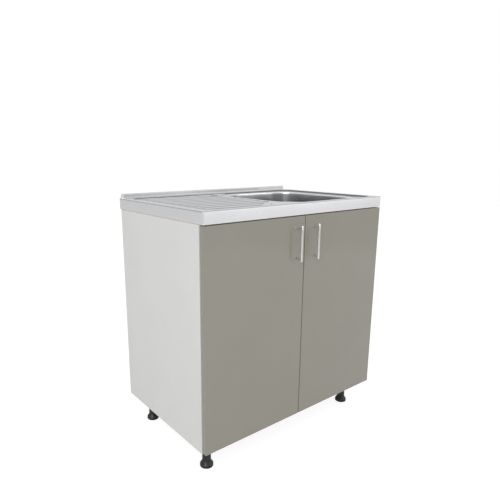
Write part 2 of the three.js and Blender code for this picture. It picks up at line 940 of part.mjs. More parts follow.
// ---- Waste and strainer ----
// These are drawn about the drain's axis, with Z from the upper face of the drain's seat.

const flangeTop = 2 * flangeSheet;
const coneFoot = -seatDrop - coneDrop;

// The stainless dish: a flange on the seat, a cone for the basket and a cup with an outlet neck.
function wasteFlange() {
  const wall = flangeSheet;
  const cupBottom = -cupSinkDepth;
  return turnedRing(
    [
      [flangeRadius, clearance],
      [flangeRadius - flangeBevel, clearance + wall],
      [drainRadius + flangeCrown, flangeTop],
      [basketRadius - mouthInset, flangeTop - mouthFall],
      [seatRadius - wall, -seatDrop],
      [cupSinkRadius - wall, coneFoot + mouthFall],
      [cupSinkRadius - wall, cupBottom + wall],
      [outletRadius, cupBottom],
      [outletRadius, cupBottom - outletNeck],
      [outletRadius + wall, cupBottom - outletNeck],
      [outletRadius + wall, cupBottom - wall],
      [cupSinkRadius, cupBottom],
      [cupSinkRadius, coneFoot],
      [drainRadius - 2 * clearance, -sheet - clearance],
      [drainRadius - 2 * clearance, clearance],
    ],
    wasteSides,
  );
}

const gasketTop = -sheet - clearance;
const clampTop = gasketTop - gasketThickness - clearance;

function wasteGasket() {
  const inner = drainRadius + clearance;
  return turnedRing(
    [
      [inner, gasketTop - gasketThickness],
      [inner + gasketWidth, gasketTop - gasketThickness],
      [inner + gasketWidth, gasketTop],
      [inner, gasketTop],
    ],
    wasteSides,
  );
}

// The ring nut on the cup presses the gasket against the underside of the bowl.
function wasteClampNut() {
  const bore = drainRadius + clearance;
  const outer = bore + gasketWidth;
  return turnedRing(
    [
      [cupSinkRadius + clearance, clampTop - clampHeight],
      [cupSinkRadius + clampWall, clampTop - clampHeight],
      [cupSinkRadius + clampWall + clampTaper, clampTop - clampFlange],
      [outer, clampTop - clampFlange],
      [outer, clampTop],
      [bore, clampTop],
      [cupSinkRadius + clearance, coneFoot - clearance],
    ],
    wasteSides,
  );
}

const neckBottom = -cupSinkDepth - outletNeck;
const tailRadius = outletRadius - outletWall;

// The tail pipe below the neck, with the collar that its nut pulls up.
function wasteOutlet() {
  const top = neckBottom - clearance;
  return turnedRing(
    [
      [tailRadius - outletWall, top - outletLength],
      [tailRadius, top - outletLength],
      [tailRadius, top - collarHeight],
      [outletRadius + flangeSheet, top - collarHeight],
      [outletRadius + flangeSheet, top],
      [tailRadius - outletWall, top],
    ],
    wasteSides,
  );
}

function wasteOutletNut() {
  const inner = outletRadius + flangeSheet + clearance;
  const under = neckBottom - collarHeight - 2 * clearance;
  const outer = inner + outletNutWall;
  const grip = neckBottom + outletNeck * outletNutGrip;
  return turnedRing(
    [
      [tailRadius + clearance, under - collarHeight],
      [outer, under - collarHeight],
      [outer, grip],
      [inner, grip],
      [inner, under],
      [tailRadius + clearance, under],
    ],
    wasteSides,
  );
}

const basketRim = flangeTop + clearance;
const basketFloor = basketRim - basketDish;

// The lift-out basket: a shallow dish whose slots leave even spokes round a flat middle.
function strainerBasket() {
  const lift = basketSheet;
  const lip = basketRadius - basketLip;
  const dish = turned(
    [
      [stemRadius / 2, basketFloor],
      [basketFloorRadius, basketFloor],
      [lip, basketRim - basketLipFall],
      [basketRadius, basketRim],
      [basketRadius, basketRim + basketEdge * lift],
      [lip, basketRim + lift],
      [basketFloorRadius, basketFloor + lift],
      [stemRadius / 2, basketFloor + lift],
      [stemRadius / 2, basketFloor],
    ],
    basketSides,
  );
  const halfSlot = (radius) => (Math.PI * radius) / slotCount - spokeWidth / 2;
  const wedge = new THREE.Shape([
    new THREE.Vector2(slotInner, -halfSlot(slotInner)),
    new THREE.Vector2(slotOuter, -halfSlot(slotOuter)),
    new THREE.Vector2(slotOuter, halfSlot(slotOuter)),
    new THREE.Vector2(slotInner, halfSlot(slotInner)),
  ]);
  const slots = Array.from({ length: slotCount }, (_, i) =>
    slab(wedge, 4 * basketDish).rotateZ((2 * Math.PI * i) / slotCount),
  );
  return cut(dish, slots);
}

// The rubber seal under the basket, carried on the knob's stem.
function strainerSeal() {
  const top = basketFloor - clearance;
  const bore = stemRadius / 2 + clearance;
  return turnedRing(
    [
      [bore, top - sealThickness],
      [sealRadius - sealBevel, top - sealThickness],
      [sealRadius, top - sealThickness / 2],
      [sealRadius - sealBevel / 2, top],
      [bore, top],
    ],
    saddleSides,
  );
}

// The knob: a round base on the basket, a waist and a small top ring, with a stem through the seal.
function strainerKnob() {
  const base = basketFloor + basketSheet + clearance;
  const pin = stemRadius / 2 - clearance;
  const sealUnder = basketFloor - 2 * clearance - sealThickness;
  return turned(
    [
      [0, sealUnder - stemNut],
      [stemRadius + stemNut, sealUnder - stemNut],
      [stemRadius + stemNut, sealUnder],
      [pin, sealUnder],
      [pin, base],
      [knobRadius, base],
      [knobRadius - knobRise, base + knobRise],
      [stemRadius, base + knobWaist],
      [stemRadius, base + knobHeight - knobWaist],
      [knobTopRadius, base + knobHeight - knobTop],
      [knobTopRadius, base + knobHeight],
      [0, base + knobHeight],
    ],
    moulded,
  );
}

function buildSink() {
  const atDrain = [drainX, sinkMiddle, rimLevel + drainSeat];
  place("sink_top", sinkTop(), stainless, 0, sinkMiddle, rimLevel);
  place("waste_flange", wasteFlange(), stainless, ...atDrain);
  place("waste_gasket", wasteGasket(), rubber, ...atDrain);
  place("waste_clamp_nut", wasteClampNut(), whitePlastic, ...atDrain);
  place("waste_outlet", wasteOutlet(), whitePlastic, ...atDrain);
  place("waste_outlet_nut", wasteOutletNut(), whitePlastic, ...atDrain);
  place("strainer_basket", strainerBasket(), satinSteel, ...atDrain);
  place("strainer_seal", strainerSeal(), rubber, ...atDrain);
  place("strainer_knob", strainerKnob(), satinSteel, ...atDrain);
}

// ---- Sink clips ----
// Each clip is drawn at the inner top edge of the left panel: X inwards, Z up from the panel's top.

function sinkClip() {
  const hookUnder = sheet + clearance;
  const outline = new THREE.Shape(
    [
      [0, -clipDrop],
      [clipSheet, -clipDrop],
      [clipSheet, hookUnder + clipSheet],
      [-clipHook, hookUnder + clipSheet],
      [-clipHook, hookUnder],
      [0, hookUnder],
    ].map(([x, z]) => new THREE.Vector2(x, z)),
  );
  const strip = slab(outline, clipWidth).rotateX(Math.PI / 2);
  const round = clipScrewRadius + clearance;
  const half = clipSlotLength / 2 - round;
  const slot = new THREE.Shape();
  slot.moveTo(-half, -round);
  slot.absarc(half, 0, round, -Math.PI / 2, Math.PI / 2);
  slot.absarc(-half, 0, round, Math.PI / 2, (3 * Math.PI) / 2);
  const cutter = slab(slot, 4 * clipSheet)
    .rotateZ(clipSlotTilt)
    .rotateX(Math.PI / 2)
    .rotateZ(Math.PI / 2);
  return cut(strip, [cutter.translate(clipSheet / 2, 0, -clipDrop / 2)]);
}

function clipScrew() {
  const shank = rodX(clipScrewRadius, -clipScrewReach, clipSheet + bite, screwSides);
  return join([shank, rodX(clipScrewHead, clipSheet, clipSheet + clipScrewCap, screwSides)]);
}

function buildClips() {
  ["front", "rear"].forEach((row, i) => {
    for (const { name, sign } of sides) {
      const corner = row + "_" + name;
      const x = sign * innerHalf;
      place(corner + "_sink_clip", handed(sign, sinkClip()), nickel, x, clipY[i], carcassTop);
      place(corner + "_clip_screw", handed(sign, clipScrew()), nickel, x, clipY[i], clipScrewZ);
    }
  });
}

buildCarcass();
buildLegs();
buildDoors();
buildHinges();
buildSink();
buildClips();

export default unit;
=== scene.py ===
"""The looks of a kitchen sink unit: a two-door cabinet that carries a lay-on stainless sink.

Shapes are drawn in millimetres: X from the unit's middle, Y from the front of the side
panels, Z from the floor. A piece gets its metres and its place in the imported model's
frame when it is made.
"""

from math import acos, asin, cos, pi, radians, sin, sqrt

import bmesh
import bpy
from mathutils import Matrix, Vector
from mathutils.geometry import tessellate_polygon


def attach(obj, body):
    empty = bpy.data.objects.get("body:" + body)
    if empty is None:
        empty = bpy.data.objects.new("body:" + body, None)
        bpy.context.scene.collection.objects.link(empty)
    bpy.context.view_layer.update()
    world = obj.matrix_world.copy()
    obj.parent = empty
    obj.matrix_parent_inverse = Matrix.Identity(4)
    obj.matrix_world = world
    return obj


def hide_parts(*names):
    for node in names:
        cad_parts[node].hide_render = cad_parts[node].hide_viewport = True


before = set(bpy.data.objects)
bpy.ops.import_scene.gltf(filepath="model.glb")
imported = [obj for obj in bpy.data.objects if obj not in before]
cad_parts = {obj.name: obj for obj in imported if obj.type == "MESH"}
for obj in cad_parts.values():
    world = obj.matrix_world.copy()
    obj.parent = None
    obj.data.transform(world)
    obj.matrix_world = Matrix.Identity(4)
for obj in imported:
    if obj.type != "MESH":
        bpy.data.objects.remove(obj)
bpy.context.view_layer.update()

# ---- Sizes in millimetres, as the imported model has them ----

MM = 0.001
FRONT_PLANE = -222.25
SIDES = {"left": -1, "right": 1}
LEVELS = ("upper", "lower")

UNIT_WIDTH = 800
CARCASS_TOP = 804
CARCASS_DEPTH = 480
BOARD = 16
PANEL_INNER = UNIT_WIDTH / 2 - BOARD
LEG_HEIGHT = 100
DOOR_BACK = -2.5
DOOR_FRONT = -18.5
DOOR_BOTTOM = 103
DOOR_TOP = 801
DOOR_INNER = 1.5
DOOR_OUTER = 398.5
BUMPER_X = 20.5
BUMPER_LEVELS = (786, 108)

HANDLE_X = 39.5
HANDLE_AXIS = -43.5
HANDLE_LEVELS = (764, 668)
HANDLE_HALF = 58
BAR_RADIUS = 4
POST_RADIUS = 3.5

HINGE_LEVELS = (686, 218)
CUP_X = 378
CUP_WING = 23
CUP_RISE = 1.2
PLATE_Y = 37
PLATE_HOLE = 19
PLATE_RISE = 2
CAM_INSET = 24

SHEET = 0.8
RIM_LEVEL = 842
DECK_MIDDLE = 230
DECK_DEPTH = 500
SKIRT_HEIGHT = 38
SKIRT_LIP = 14
EDGE_RADIUS = 4
LIP_RADIUS = 2
CORNER_RADIUS = 4
RIDGE_DEPTH = 12
RIDGE_HEIGHT = 15
RIDGE_ROUND = 3
RIDGE_END = 4
RIDGE_HOLLOW = 3
RIM_WIDTH = 21
BORDER_RADIUS = 36
BORDER_STEP = 5
FIELD_DROP = 3
FIELD_FALL = 3
BORDER_X = UNIT_WIDTH / 2 - RIM_WIDTH
BORDER_Y = DECK_DEPTH / 2 - RIM_WIDTH

RIB_COUNT = 10
RIB_PITCH = 42.1
RIB_WIDTH = 27.2
RIB_RADIUS = 8.5
RIB_HEIGHT = 2.2
RIB_SLOPE = 3
RIB_MARGIN = 24
RIB_BOWL_GAP = 23.5
RIB_LEDGE_GAP = 24
LEDGE_X = -44.8
LEDGE_HALF = 104.8
LEDGE_DEPTH = 78
LEDGE_DROP = 2
LEDGE_SLOPE = 4
LEDGE_MARGIN = 0.3
TAP_HOLE_RADIUS = 17.5
TAP_HOLE_INSET = 62

BOWL_X = 171
BOWL_HALF_X = 182
BOWL_HALF_Y = 208
BOWL_POWER = 3.9
BOWL_FLOOR = -160
BOWL_LIP = 5
BOWL_TAPER_X = 31
BOWL_TAPER_Y = 47
BOWL_DRAFT = 0.22
BOWL_FILLET = 48
BOWL_STEPS = 160
DRAIN_X = 167
DRAIN_FALL = 3
DRAIN_RADIUS = 44.8
RECESS_RADIUS = 61
RECESS_DROP = 2.5
RECESS_SLOPE = 2.5
DRAIN_SEAT = BOWL_FLOOR - DRAIN_FALL - RECESS_DROP
FLANGE_TOP = 2.4
SLOT_COUNT = 18

LEG_X = 340
LEG_ROWS = {"front": 62, "rear": 420}
CLIP_ROWS = {"front": 90, "rear": 390}
CLIP_SCREW_DROP = 17
CLIP_RISE = 2

# Painted shade in the pressed bends: how much darker than flat steel each bend is painted, and
# over how much the ledge's painted shade fades out.
BORDER_PAINTED_SHADE = 1.0
RIB_PAINTED_SHADE = 0.6
LEDGE_PAINTED_SHADE = 0.8
RECESS_PAINTED_SHADE = 0.8
RIDGE_PAINTED_SHADE = 0.8
CREST_PAINTED_SHADE = 0.4
RIM_PAINTED_SHADE = 0.55
PAINTED_SHADE_FADE = 8

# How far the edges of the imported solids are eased.
BOARD_EASE = 0.5
DOOR_EASE = 0.9
CLIP_EASE = 0.35
HINGE_EASE = 0.22

# Radii of the fasteners' heads.
CAM_HEAD = 7.5
HANDLE_HEAD = 4.4
CLIP_HEAD = 4.0
HINGE_HEAD = 3.6
LEG_HEAD = 3.4


# ---- Shapes ----


class Form:
    """Points in millimetres with how much painted shade each carries, and the faces between them.
    """

    def __init__(self):
        self.points = []
        self.painted_shades = []
        self.faces = []

    def loop(self, points, painted_shades=None):
        first = len(self.points)
        self.points += [tuple(point) for point in points]
        self.painted_shades += painted_shades or [0.0] * (len(self.points) - first)
        return list(range(first, len(self.points)))

    def band(self, inner, outer):
        """Joins two loops that run counter-clockwise from above, the inner one first."""
        for i, start in enumerate(inner):
            j = (i + 1) % len(inner)
            self.faces.append((start, outer[i], outer[j], inner[j]))

    def bands(self, loops, inward=False):
        """Joins each loop to the next, which lies outside it or, inward, inside it."""
        for here, after in zip(loops, loops[1:]):
            self.band(*((after, here) if inward else (here, after)))

    def fill(self, outer, holes=(), up=True):
        """Fills the area between an outline and the holes in it."""
        rings = [outer, *holes]
        flat = [[Vector((*self.points[i][:2], 0)) for i in ring] for ring in rings]
        ids = [i for ring in rings for i in ring]
        for face in tessellate_polygon(flat):
            corners = [ids[k] for k in face]
            a, b, c = (Vector(self.points[i][:2]) for i in corners)
            turns_left = (b - a).cross(c - a) > 0
            self.faces.append(corners if turns_left == up else corners[::-1])


def circle(radius, level, steps, x=0.0, y=0.0):
    turns = (2 * pi * i / steps for i in range(steps))
    return [(x + radius * cos(t), y + radius * sin(t), level) for t in turns]


def quarter_turn(steps, first=0):
    """The angles of a quarter turn, in even steps."""
    return [pi / 2 * i / steps for i in range(first, steps + 1)]


def turned(profile, steps=64):
    """A shape turned about Z, from [radius, height] pairs that run upwards on its outside."""
    form = Form()
    rings = [form.loop(circle(r, z, steps) if r else [(0, 0, z)]) for r, z in profile]
    for low, high in zip(rings, rings[1:]):
        for i in range(steps):
            j = (i + 1) % steps
            if len(low) == 1:
                form.faces.append((low[0], high[j], high[i]))
            elif len(high) == 1:
                form.faces.append((low[i], low[j], high[0]))
            else:
                form.faces.append((low[i], low[j], high[j], high[i]))
    return form


def turned_ring(profile, steps=64):
    """A turned shape round a hollow middle: its profile ends where it starts."""
    return turned([*profile, profile[0]], steps)


def rounded(profile, radius, steps=3, most=0.45):
    """Rounds the corners of a closed profile; an arc takes at most that share of a side."""
    arcs = []
    for i, corner in enumerate(profile):
        here = Vector(corner)
        before = Vector(profile[i - 1]) - here
        after = Vector(profile[(i + 1) % len(profile)]) - here
        reach = min(radius, before.length * most, after.length * most)
        start, end = here + before.normalized() * reach, here + after.normalized() * reach
        for k in range(steps + 1):
            t = k / steps
            arcs.append(tuple(start.lerp(here, t).lerp(here.lerp(end, t), t)))
    return arcs


def block(x0, x1, y0, y1, z0, z1):
    form = Form()
    low = form.loop([(x0, y0, z0), (x1, y0, z0), (x1, y1, z0), (x0, y1, z0)])
    high = form.loop([(x0, y0, z1), (x1, y0, z1), (x1, y1, z1), (x0, y1, z1)])
    form.faces += [low[::-1], high]
    for i in range(4):
        j = (i + 1) % 4
        form.faces.append((low[i], low[j], high[j], high[i]))
    return form


def rounded_outline(x0, x1, y0, y1, radius, steps):
    """A rectangle with round corners, counter-clockwise from its front right corner."""
    corners = [
        (x1 - radius, y0 + radius, -0.5),
        (x1 - radius, y1 - radius, 0.0),
        (x0 + radius, y1 - radius, 0.5),
        (x0 + radius, y0 + radius, 1.0),
    ]
    outline = []
    for x, y, start in corners:
        for i in range(steps + 1):
            angle = pi * (start + i / steps / 2)
            outline.append((x + radius * cos(angle), y + radius * sin(angle)))
    return outline


def eased(steps):
    """Shares of a smooth step: how far across and how far up."""
    return [(i / steps, (i / steps) ** 2 * (3 - 2 * i / steps)) for i in range(steps + 1)]


def each_corner(rows):
    """Each corner of the unit: its name, its sign in X and its place in Y."""
    for row, y in rows.items():
        for side, sign in SIDES.items():
            yield row + "_" + side, sign, y


# ---- From a shape to a piece ----

# Points closer than this, in millimetres, are one point.
WELD = 0.02

# Faces that meet at more degrees than this keep a sharp edge.
SMOOTH_ANGLE = 32
EDGE_ANGLE = 40
SHEET_ANGLE = 50


def placed(at):
    """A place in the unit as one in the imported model's frame, still in millimetres."""
    return Vector(at) + Vector((0, FRONT_PLANE, 0))


def smooth_mesh(data, angle=SMOOTH_ANGLE):
    data.shade_smooth()
    data.set_sharp_from_angle(angle=radians(angle))


def new_object(name, data):
    made = bpy.data.objects.new(name, data)
    bpy.context.scene.collection.objects.link(made)
    return made


def mesh_data(name, points, faces=()):
    """A mesh in metres from points in millimetres."""
    data = bpy.data.meshes.new(name)
    data.from_pydata([Vector(point) * MM for point in points], [], faces)
    return data


def piece(name, form, at=(0, 0, 0), angle=SMOOTH_ANGLE, turn=None):
    """Makes a mesh object from a form whose origin lies at the given place."""
    place = Matrix.Translation(placed(at))
    place = place @ turn if turn else place
    data = mesh_data(name, (place @ Vector(point) for point in form.points), form.faces)
    mesh = bmesh.new()
    mesh.from_mesh(data)
    # Each point's painted shade is kept as a mesh attribute, which the sink's steel darkens by.
    if any(form.painted_shades):
        layer = mesh.verts.layers.float.new("painted_shade")
        for vert, painted_shade in zip(mesh.verts, form.painted_shades):
            vert[layer] = painted_shade
    bmesh.ops.remove_doubles(mesh, verts=mesh.verts, dist=WELD * MM)
    mesh.to_mesh(data)
    mesh.free()
    smooth_mesh(data, angle)
    return new_object(name, data)


def refined(name, node, edge, segments=2):
    """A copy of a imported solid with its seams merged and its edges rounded."""
    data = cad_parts[node].data.copy()
    data.name = name
    mesh = bmesh.new()
    mesh.from_mesh(data)
    bmesh.ops.remove_doubles(mesh, verts=mesh.verts, dist=1e-6)
    flat = radians(1)
    bmesh.ops.dissolve_limit(mesh, angle_limit=flat, verts=mesh.verts, edges=mesh.edges)
    mesh.to_mesh(data)
    mesh.free()
    data.materials.clear()
    smooth_mesh(data, EDGE_ANGLE)
    made = new_object(name, data)
    soft = made.modifiers.new("edge", "BEVEL")
    soft.width = edge * MM
    soft.segments = segments
    soft.limit_method = "ANGLE"
    soft.angle_limit = radians(EDGE_ANGLE)
    made.modifiers.new("flat", "WEIGHTED_NORMAL").keep_sharp = True
    return made


def dress(made, body, material, slot, *nodes):
    """Gives a piece its material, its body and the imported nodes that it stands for."""
    if material is not None:
        made.data.materials.clear()
        made.data.materials.append(material)
    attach(made, body)
    if nodes:
        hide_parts(*nodes)


# ---- Node trees ----


def operator(operation, swapped=False):
    """A method that adds a Math node and gives its result."""

    def work(*values):
        return values[0].graph.maths(operation, *(values[::-1] if swapped else values))

    return work


class Wire:
    """A node's socket that takes part in sums."""

    def __init__(self, graph, socket, maker=None):
        self.graph = graph
        self.socket = socket
        self.maker = maker

    __add__ = __radd__ = operator("ADD")
    __sub__ = operator("SUBTRACT")
    __rsub__ = operator("SUBTRACT", swapped=True)
    __mul__ = operator("MULTIPLY")
    __truediv__ = operator("DIVIDE")
    __pow__ = operator("POWER")
    __abs__ = operator("ABSOLUTE")
    __lt__ = operator("LESS_THAN")
    __gt__ = operator("GREATER_THAN")
    least = operator("MINIMUM")
    most = operator("MAXIMUM")


class Graph:
    """A node tree with one way of making its nodes."""

    def __init__(self, tree):
        self.tree = tree

    def node(self, kind, sockets=None, output=0, **settings):
        made = self.tree.nodes.new(kind)
        for key, value in settings.items():
            setattr(made, key, value)
        for key, value in (sockets or {}).items():
            self.feed(made.inputs[key], value)
        return Wire(self, made.outputs[output] if len(made.outputs) else None, made)

    def feed(self, socket, value):
        if isinstance(value, Wire):
            self.tree.links.new(value.socket, socket)
        else:
            socket.default_value = value

    def maths(self, operation, *values):
        return self.node("ShaderNodeMath", dict(enumerate(values)), operation=operation)

    def mixed(self, share, first, second):
        """Mixes two shaders."""
        return self.node("ShaderNodeMixShader", {0: share, 1: first, 2: second})

    def ramp(self, share, *stops):
        """Looks a share up in [position, colour] stops."""
        made = self.node("ShaderNodeValToRGB", {0: share})
        elements = made.maker.color_ramp.elements
        while len(elements) < len(stops):
            elements.new(0.5)
        for element, (position, colour) in zip(elements, stops):
            element.position, element.color = position, colour
        return made


def emptied(owner):
    """The node tree of a material or a world, with nothing in it yet."""
    owner.use_nodes = True
    owner.node_tree.nodes.clear()
    return owner.node_tree


def srgb(*colour):
    """A colour picked on a 0 to 255 scale, as the shader wants it."""
    shares = [value / 255 for value in colour]
    linear = [s / 12.92 if s <= 0.04045 else ((s + 0.055) / 1.055) ** 2.4 for s in shares]
    return (*linear, 1.0)


class Finish(Graph):
    """A surface finish that is worked out from the place on the piece."""

    def __init__(self, name):
        self.material = bpy.data.materials.new(name)
        super().__init__(emptied(self.material))
        self.place = self.node("ShaderNodeTexCoord", output="Object")
        parts = self.node("ShaderNodeSeparateXYZ", {0: self.place}).maker
        self.x, self.y, self.z = (Wire(self, parts.outputs[i]) for i in range(3))

    def stretched(self, x, y, z):
        """The place with its axes scaled, so that a pattern is longer one way."""
        return self.node("ShaderNodeMapping", {"Vector": self.place, "Scale": (x, y, z)})

    def noise(self, scale, detail, vector=None):
        sockets = {"Vector": vector or self.place, "Scale": scale, "Detail": detail}
        return self.node("ShaderNodeTexNoise", sockets)

    def cell_colours(self, scale):
        return self.node("ShaderNodeTexVoronoi", {"Vector": self.place, "Scale": scale}, "Color")

    def blend(self, share, *colours):
        """Mixes two colours, each from another node or on a 0 to 255 scale."""
        first, second = (srgb(*c) if isinstance(c, tuple) else c for c in colours)
        return self.node("ShaderNodeMix", {0: share, 6: first, 7: second}, 2, data_type="RGBA")

    def bump(self, height, depth, strength):
        """A relief whose depth is given in millimetres."""
        sockets = {"Height": height, "Distance": depth * MM, "Strength": strength}
        return self.node("ShaderNodeBump", sockets)

    def surface(self, sockets):
        shader = self.node("ShaderNodeBsdfPrincipled", sockets)
        self.node("ShaderNodeOutputMaterial", {"Surface": shader})
        return self.material


# ---- Finishes ----


def door_lacquer():
    """High-gloss taupe front, light grey inside, and a matt edge strip round each leaf."""
    make = Finish("taupe lacquer")
    strip_width, lining_depth = 0.9, 0.4
    across = abs(make.x)
    inset = (across - DOOR_INNER * MM).least(DOOR_OUTER * MM - across)
    inset = inset.least(make.z - DOOR_BOTTOM * MM).least(DOOR_TOP * MM - make.z)
    strip = inset < strip_width * MM
    cloud = make.noise(5.0, 3.0)
    inner = make.y > (FRONT_PLANE + DOOR_BACK - lining_depth) * MM
    plain = strip.most(inner)
    face = make.blend(cloud, (139, 136, 125), (145, 142, 131))
    colour = make.blend(strip, face, (140, 137, 128))
    lining = make.blend(cloud, (203, 203, 200), (208, 208, 205))
    colour = make.blend(inner, colour, lining)
    ripple = make.bump(make.noise(170.0, 2.0), 0.02, 0.5)
    haze = make.noise(24.0, 4.0) * 0.05 + 0.07
    return make.surface({
        "Base Color": colour,
        "Roughness": haze + plain * 0.32,
        "Normal": ripple,
        "Coat Weight": 0.3 - plain * 0.3,
        "Coat Roughness": 0.04,
    })


def melamine_board():
    """Light grey melamine; raw chipboard shows where an edge has no strip."""
    make = Finish("light grey melamine")
    cut = 0.15
    top = make.z > (CARCASS_TOP - cut) * MM
    bottom = (make.z < (LEG_HEIGHT + cut) * MM) * (abs(make.x) > PANEL_INNER * MM)
    ends = top.most(bottom)
    flakes = make.cell_colours(520.0)
    chips = make.blend(flakes, (150, 116, 78), (212, 184, 142))
    dark = make.noise(300.0, 3.0) > 0.62
    chips = make.blend(dark * 0.6, chips, (96, 70, 44))
    cloud = make.noise(7.0, 2.0)
    face = make.blend(cloud, (205, 205, 202), (211, 211, 208))
    pearl = make.noise(1100.0, 2.0)
    rough = ends * make.noise(700.0, 3.0) * 4.0
    return make.surface({
        "Base Color": make.blend(ends, face, chips),
        "Roughness": 0.42 + pearl * 0.12 + ends * 0.35,
        "Normal": make.bump(pearl + rough, 0.03, 0.6),
    })


def sink_steel():
    """Pressed stainless steel, brushed along the deck and drawn in the bowl, with painted shade
    down the bowl's walls and in the pressed bends.
    """
    make = Finish("brushed stainless steel")
    edge_drop = 9
    from_bowl = abs(make.x - BOWL_X * MM) / (BOWL_HALF_X * MM)
    along_bowl = abs(make.y - (DECK_MIDDLE + FRONT_PLANE) * MM) / (BOWL_HALF_Y * MM)
    inside = (from_bowl ** BOWL_POWER + along_bowl ** BOWL_POWER) < 1.0
    low = make.z < (RIM_LEVEL - edge_drop) * MM
    bowl = inside * low
    brushed = make.noise(1.0, 3.0, make.stretched(9.0, 1500.0, 1500.0))
    drawn = make.noise(1.0, 3.0, make.stretched(420.0, 420.0, 14.0))
    grain = brushed * (1 - bowl) + drawn * bowl * 0.25
    cloud = make.noise(14.0, 4.0)
    deck = make.blend(cloud, (236, 237, 238), (242, 242, 242))
    # Painted shade down the bowl's walls: greys by depth, dark below the rim and bright again on
    # the floor.
    depth = (RIM_LEVEL * MM - make.z) / (-BOWL_FLOOR * MM)
    wall_shade_greys = [(0.05, 226), (0.1, 140), (0.28, 128), (0.5, 152)]
    wall_shade_greys += [(0.76, 156), (0.88, 174), (0.985, 238)]
    wall_painted_shade = make.ramp(depth, *((at, srgb(grey, grey + 1, grey + 2)) for at, grey in wall_shade_greys))
    # Painted shade in the pressed bends: the mesh attribute darkens the steel towards a dark grey
    # and roughens it.
    painted_shade = make.node("ShaderNodeAttribute", output="Fac", attribute_name="painted_shade")
    return make.surface({
        "Base Color": make.blend(painted_shade, make.blend(bowl, deck, wall_painted_shade), (88, 90, 92)),
        "Metallic": 1.0,
        "Roughness": 0.2 + grain * 0.07 + cloud * 0.05 + painted_shade * 0.15,
        "Normal": make.bump(grain, 0.006, 0.5),
    })


def strainer_steel():
    """The strainer: spun steel, with painted shade at the basket's edge and where the knob's rings
    meet.
    """
    make = Finish("spun strainer steel")
    # Painted shade: a dark ring outside the basket's edge, and thin dark rings at the knob's foot
    # and at its waist.
    edge_shade_from, edge_shade_width = 41.2, 1.4
    foot_shade_radius, foot_shade_width = 15.2, 1.1
    waist_shade_radius, waist_shade_width = 5.5, 0.9
    across = make.x - DRAIN_X * MM
    along = make.y - (DECK_MIDDLE + FRONT_PLANE) * MM
    radius = (across ** 2.0 + along ** 2.0) ** 0.5
    edge = (radius - edge_shade_from * MM) * (1 / (edge_shade_width * MM))
    foot = 1 - abs(radius - foot_shade_radius * MM) * (1 / (foot_shade_width * MM))
    waist = 1 - abs(radius - waist_shade_radius * MM) * (1 / (waist_shade_width * MM))
    dark = edge.most(foot).most(waist).most(0.0).least(1.0)
    spun = make.noise(9000.0, 2.0, make.node("ShaderNodeCombineXYZ", {0: radius}))
    cloud = make.noise(80.0, 3.0)
    bright = make.blend(cloud, (222, 222, 221), (232, 232, 231))
    return make.surface({
        # The painted shade darkens the steel towards a dark grey.
        "Base Color": make.blend(dark * 0.75, bright, (64, 65, 66)),
        "Metallic": 1.0,
        "Roughness": 0.2 + spun * 0.12 + cloud * 0.05,
        "Normal": make.bump(spun, 0.008, 0.5),
    })


def satin_steel():
    """Handles: steel with a fine grain."""
    make = Finish("satin steel")
    grain = make.noise(1.0, 2.0, make.stretched(3200.0, 3200.0, 60.0))
    cloud = make.noise(60.0, 3.0)
    return make.surface({
        "Base Color": make.blend(cloud, (219, 217, 213), (229, 227, 223)),
        "Metallic": 1.0,
        "Roughness": 0.2 + grain * 0.14 + cloud * 0.05,
        "Normal": make.bump(grain, 0.01, 0.6),
    })


def grained(name, grain, cloud, tints, haze, relief, metallic=0.0):
    """A fine grain that roughens the surface, and a slow drift between two tints.

    The grain and the cloud are given as scale and detail, the haze as the roughness of the
    smooth surface and what the grain adds, and the relief as millimetres and strength.
    """
    make = Finish(name)
    skin = make.noise(*grain)
    drift = make.noise(*cloud)
    return make.surface({
        "Base Color": make.blend(drift, *tints),
        "Metallic": metallic,
        "Roughness": haze[0] + skin * haze[1],
        "Normal": make.bump(skin, *relief),
    })


def clear_bumper():
    """Door bumpers: soft clear plastic domes."""
    make = Finish("soft clear plastic")
    flow = make.noise(900.0, 2.0)
    return make.surface({
        "Base Color": make.blend(flow, (226, 231, 232), (236, 239, 240)),
        "Roughness": 0.12 + flow * 0.12,
        "Transmission Weight": 0.7,
        "IOR": 1.46,
        "Normal": make.bump(flow, 0.02, 0.3),
    })


LACQUER = door_lacquer()
MELAMINE = melamine_board()
STEEL = sink_steel()
SPUN = strainer_steel()
SATIN = satin_steel()
BLACK = grained(
    "black moulded plastic", (2600.0, 2.0), (45.0, 3.0), ((22, 22, 23), (30, 30, 30)),
    haze=(0.3, 0.16), relief=(0.03, 0.7),
)
NICKEL = grained(
    "nickel plate", (320.0, 4.0), (90.0, 2.0), ((196, 195, 190), (212, 211, 207)),
    haze=(0.24, 0.14), relief=(0.02, 0.5), metallic=1.0,
)
WHITE = grained(
    "white moulded plastic", (1900.0, 2.0), (38.0, 3.0), ((226, 226, 222), (234, 234, 231)),
    haze=(0.34, 0.14), relief=(0.02, 0.5),
)
RUBBER = grained(
    "dark rubber", (1500.0, 3.0), (120.0, 4.0), ((38, 39, 40), (56, 57, 58)),
    haze=(0.68, 0.14), relief=(0.03, 0.6),
)
CLEAR = clear_bumper()


# ---- Geometry node trees for what repeats ----


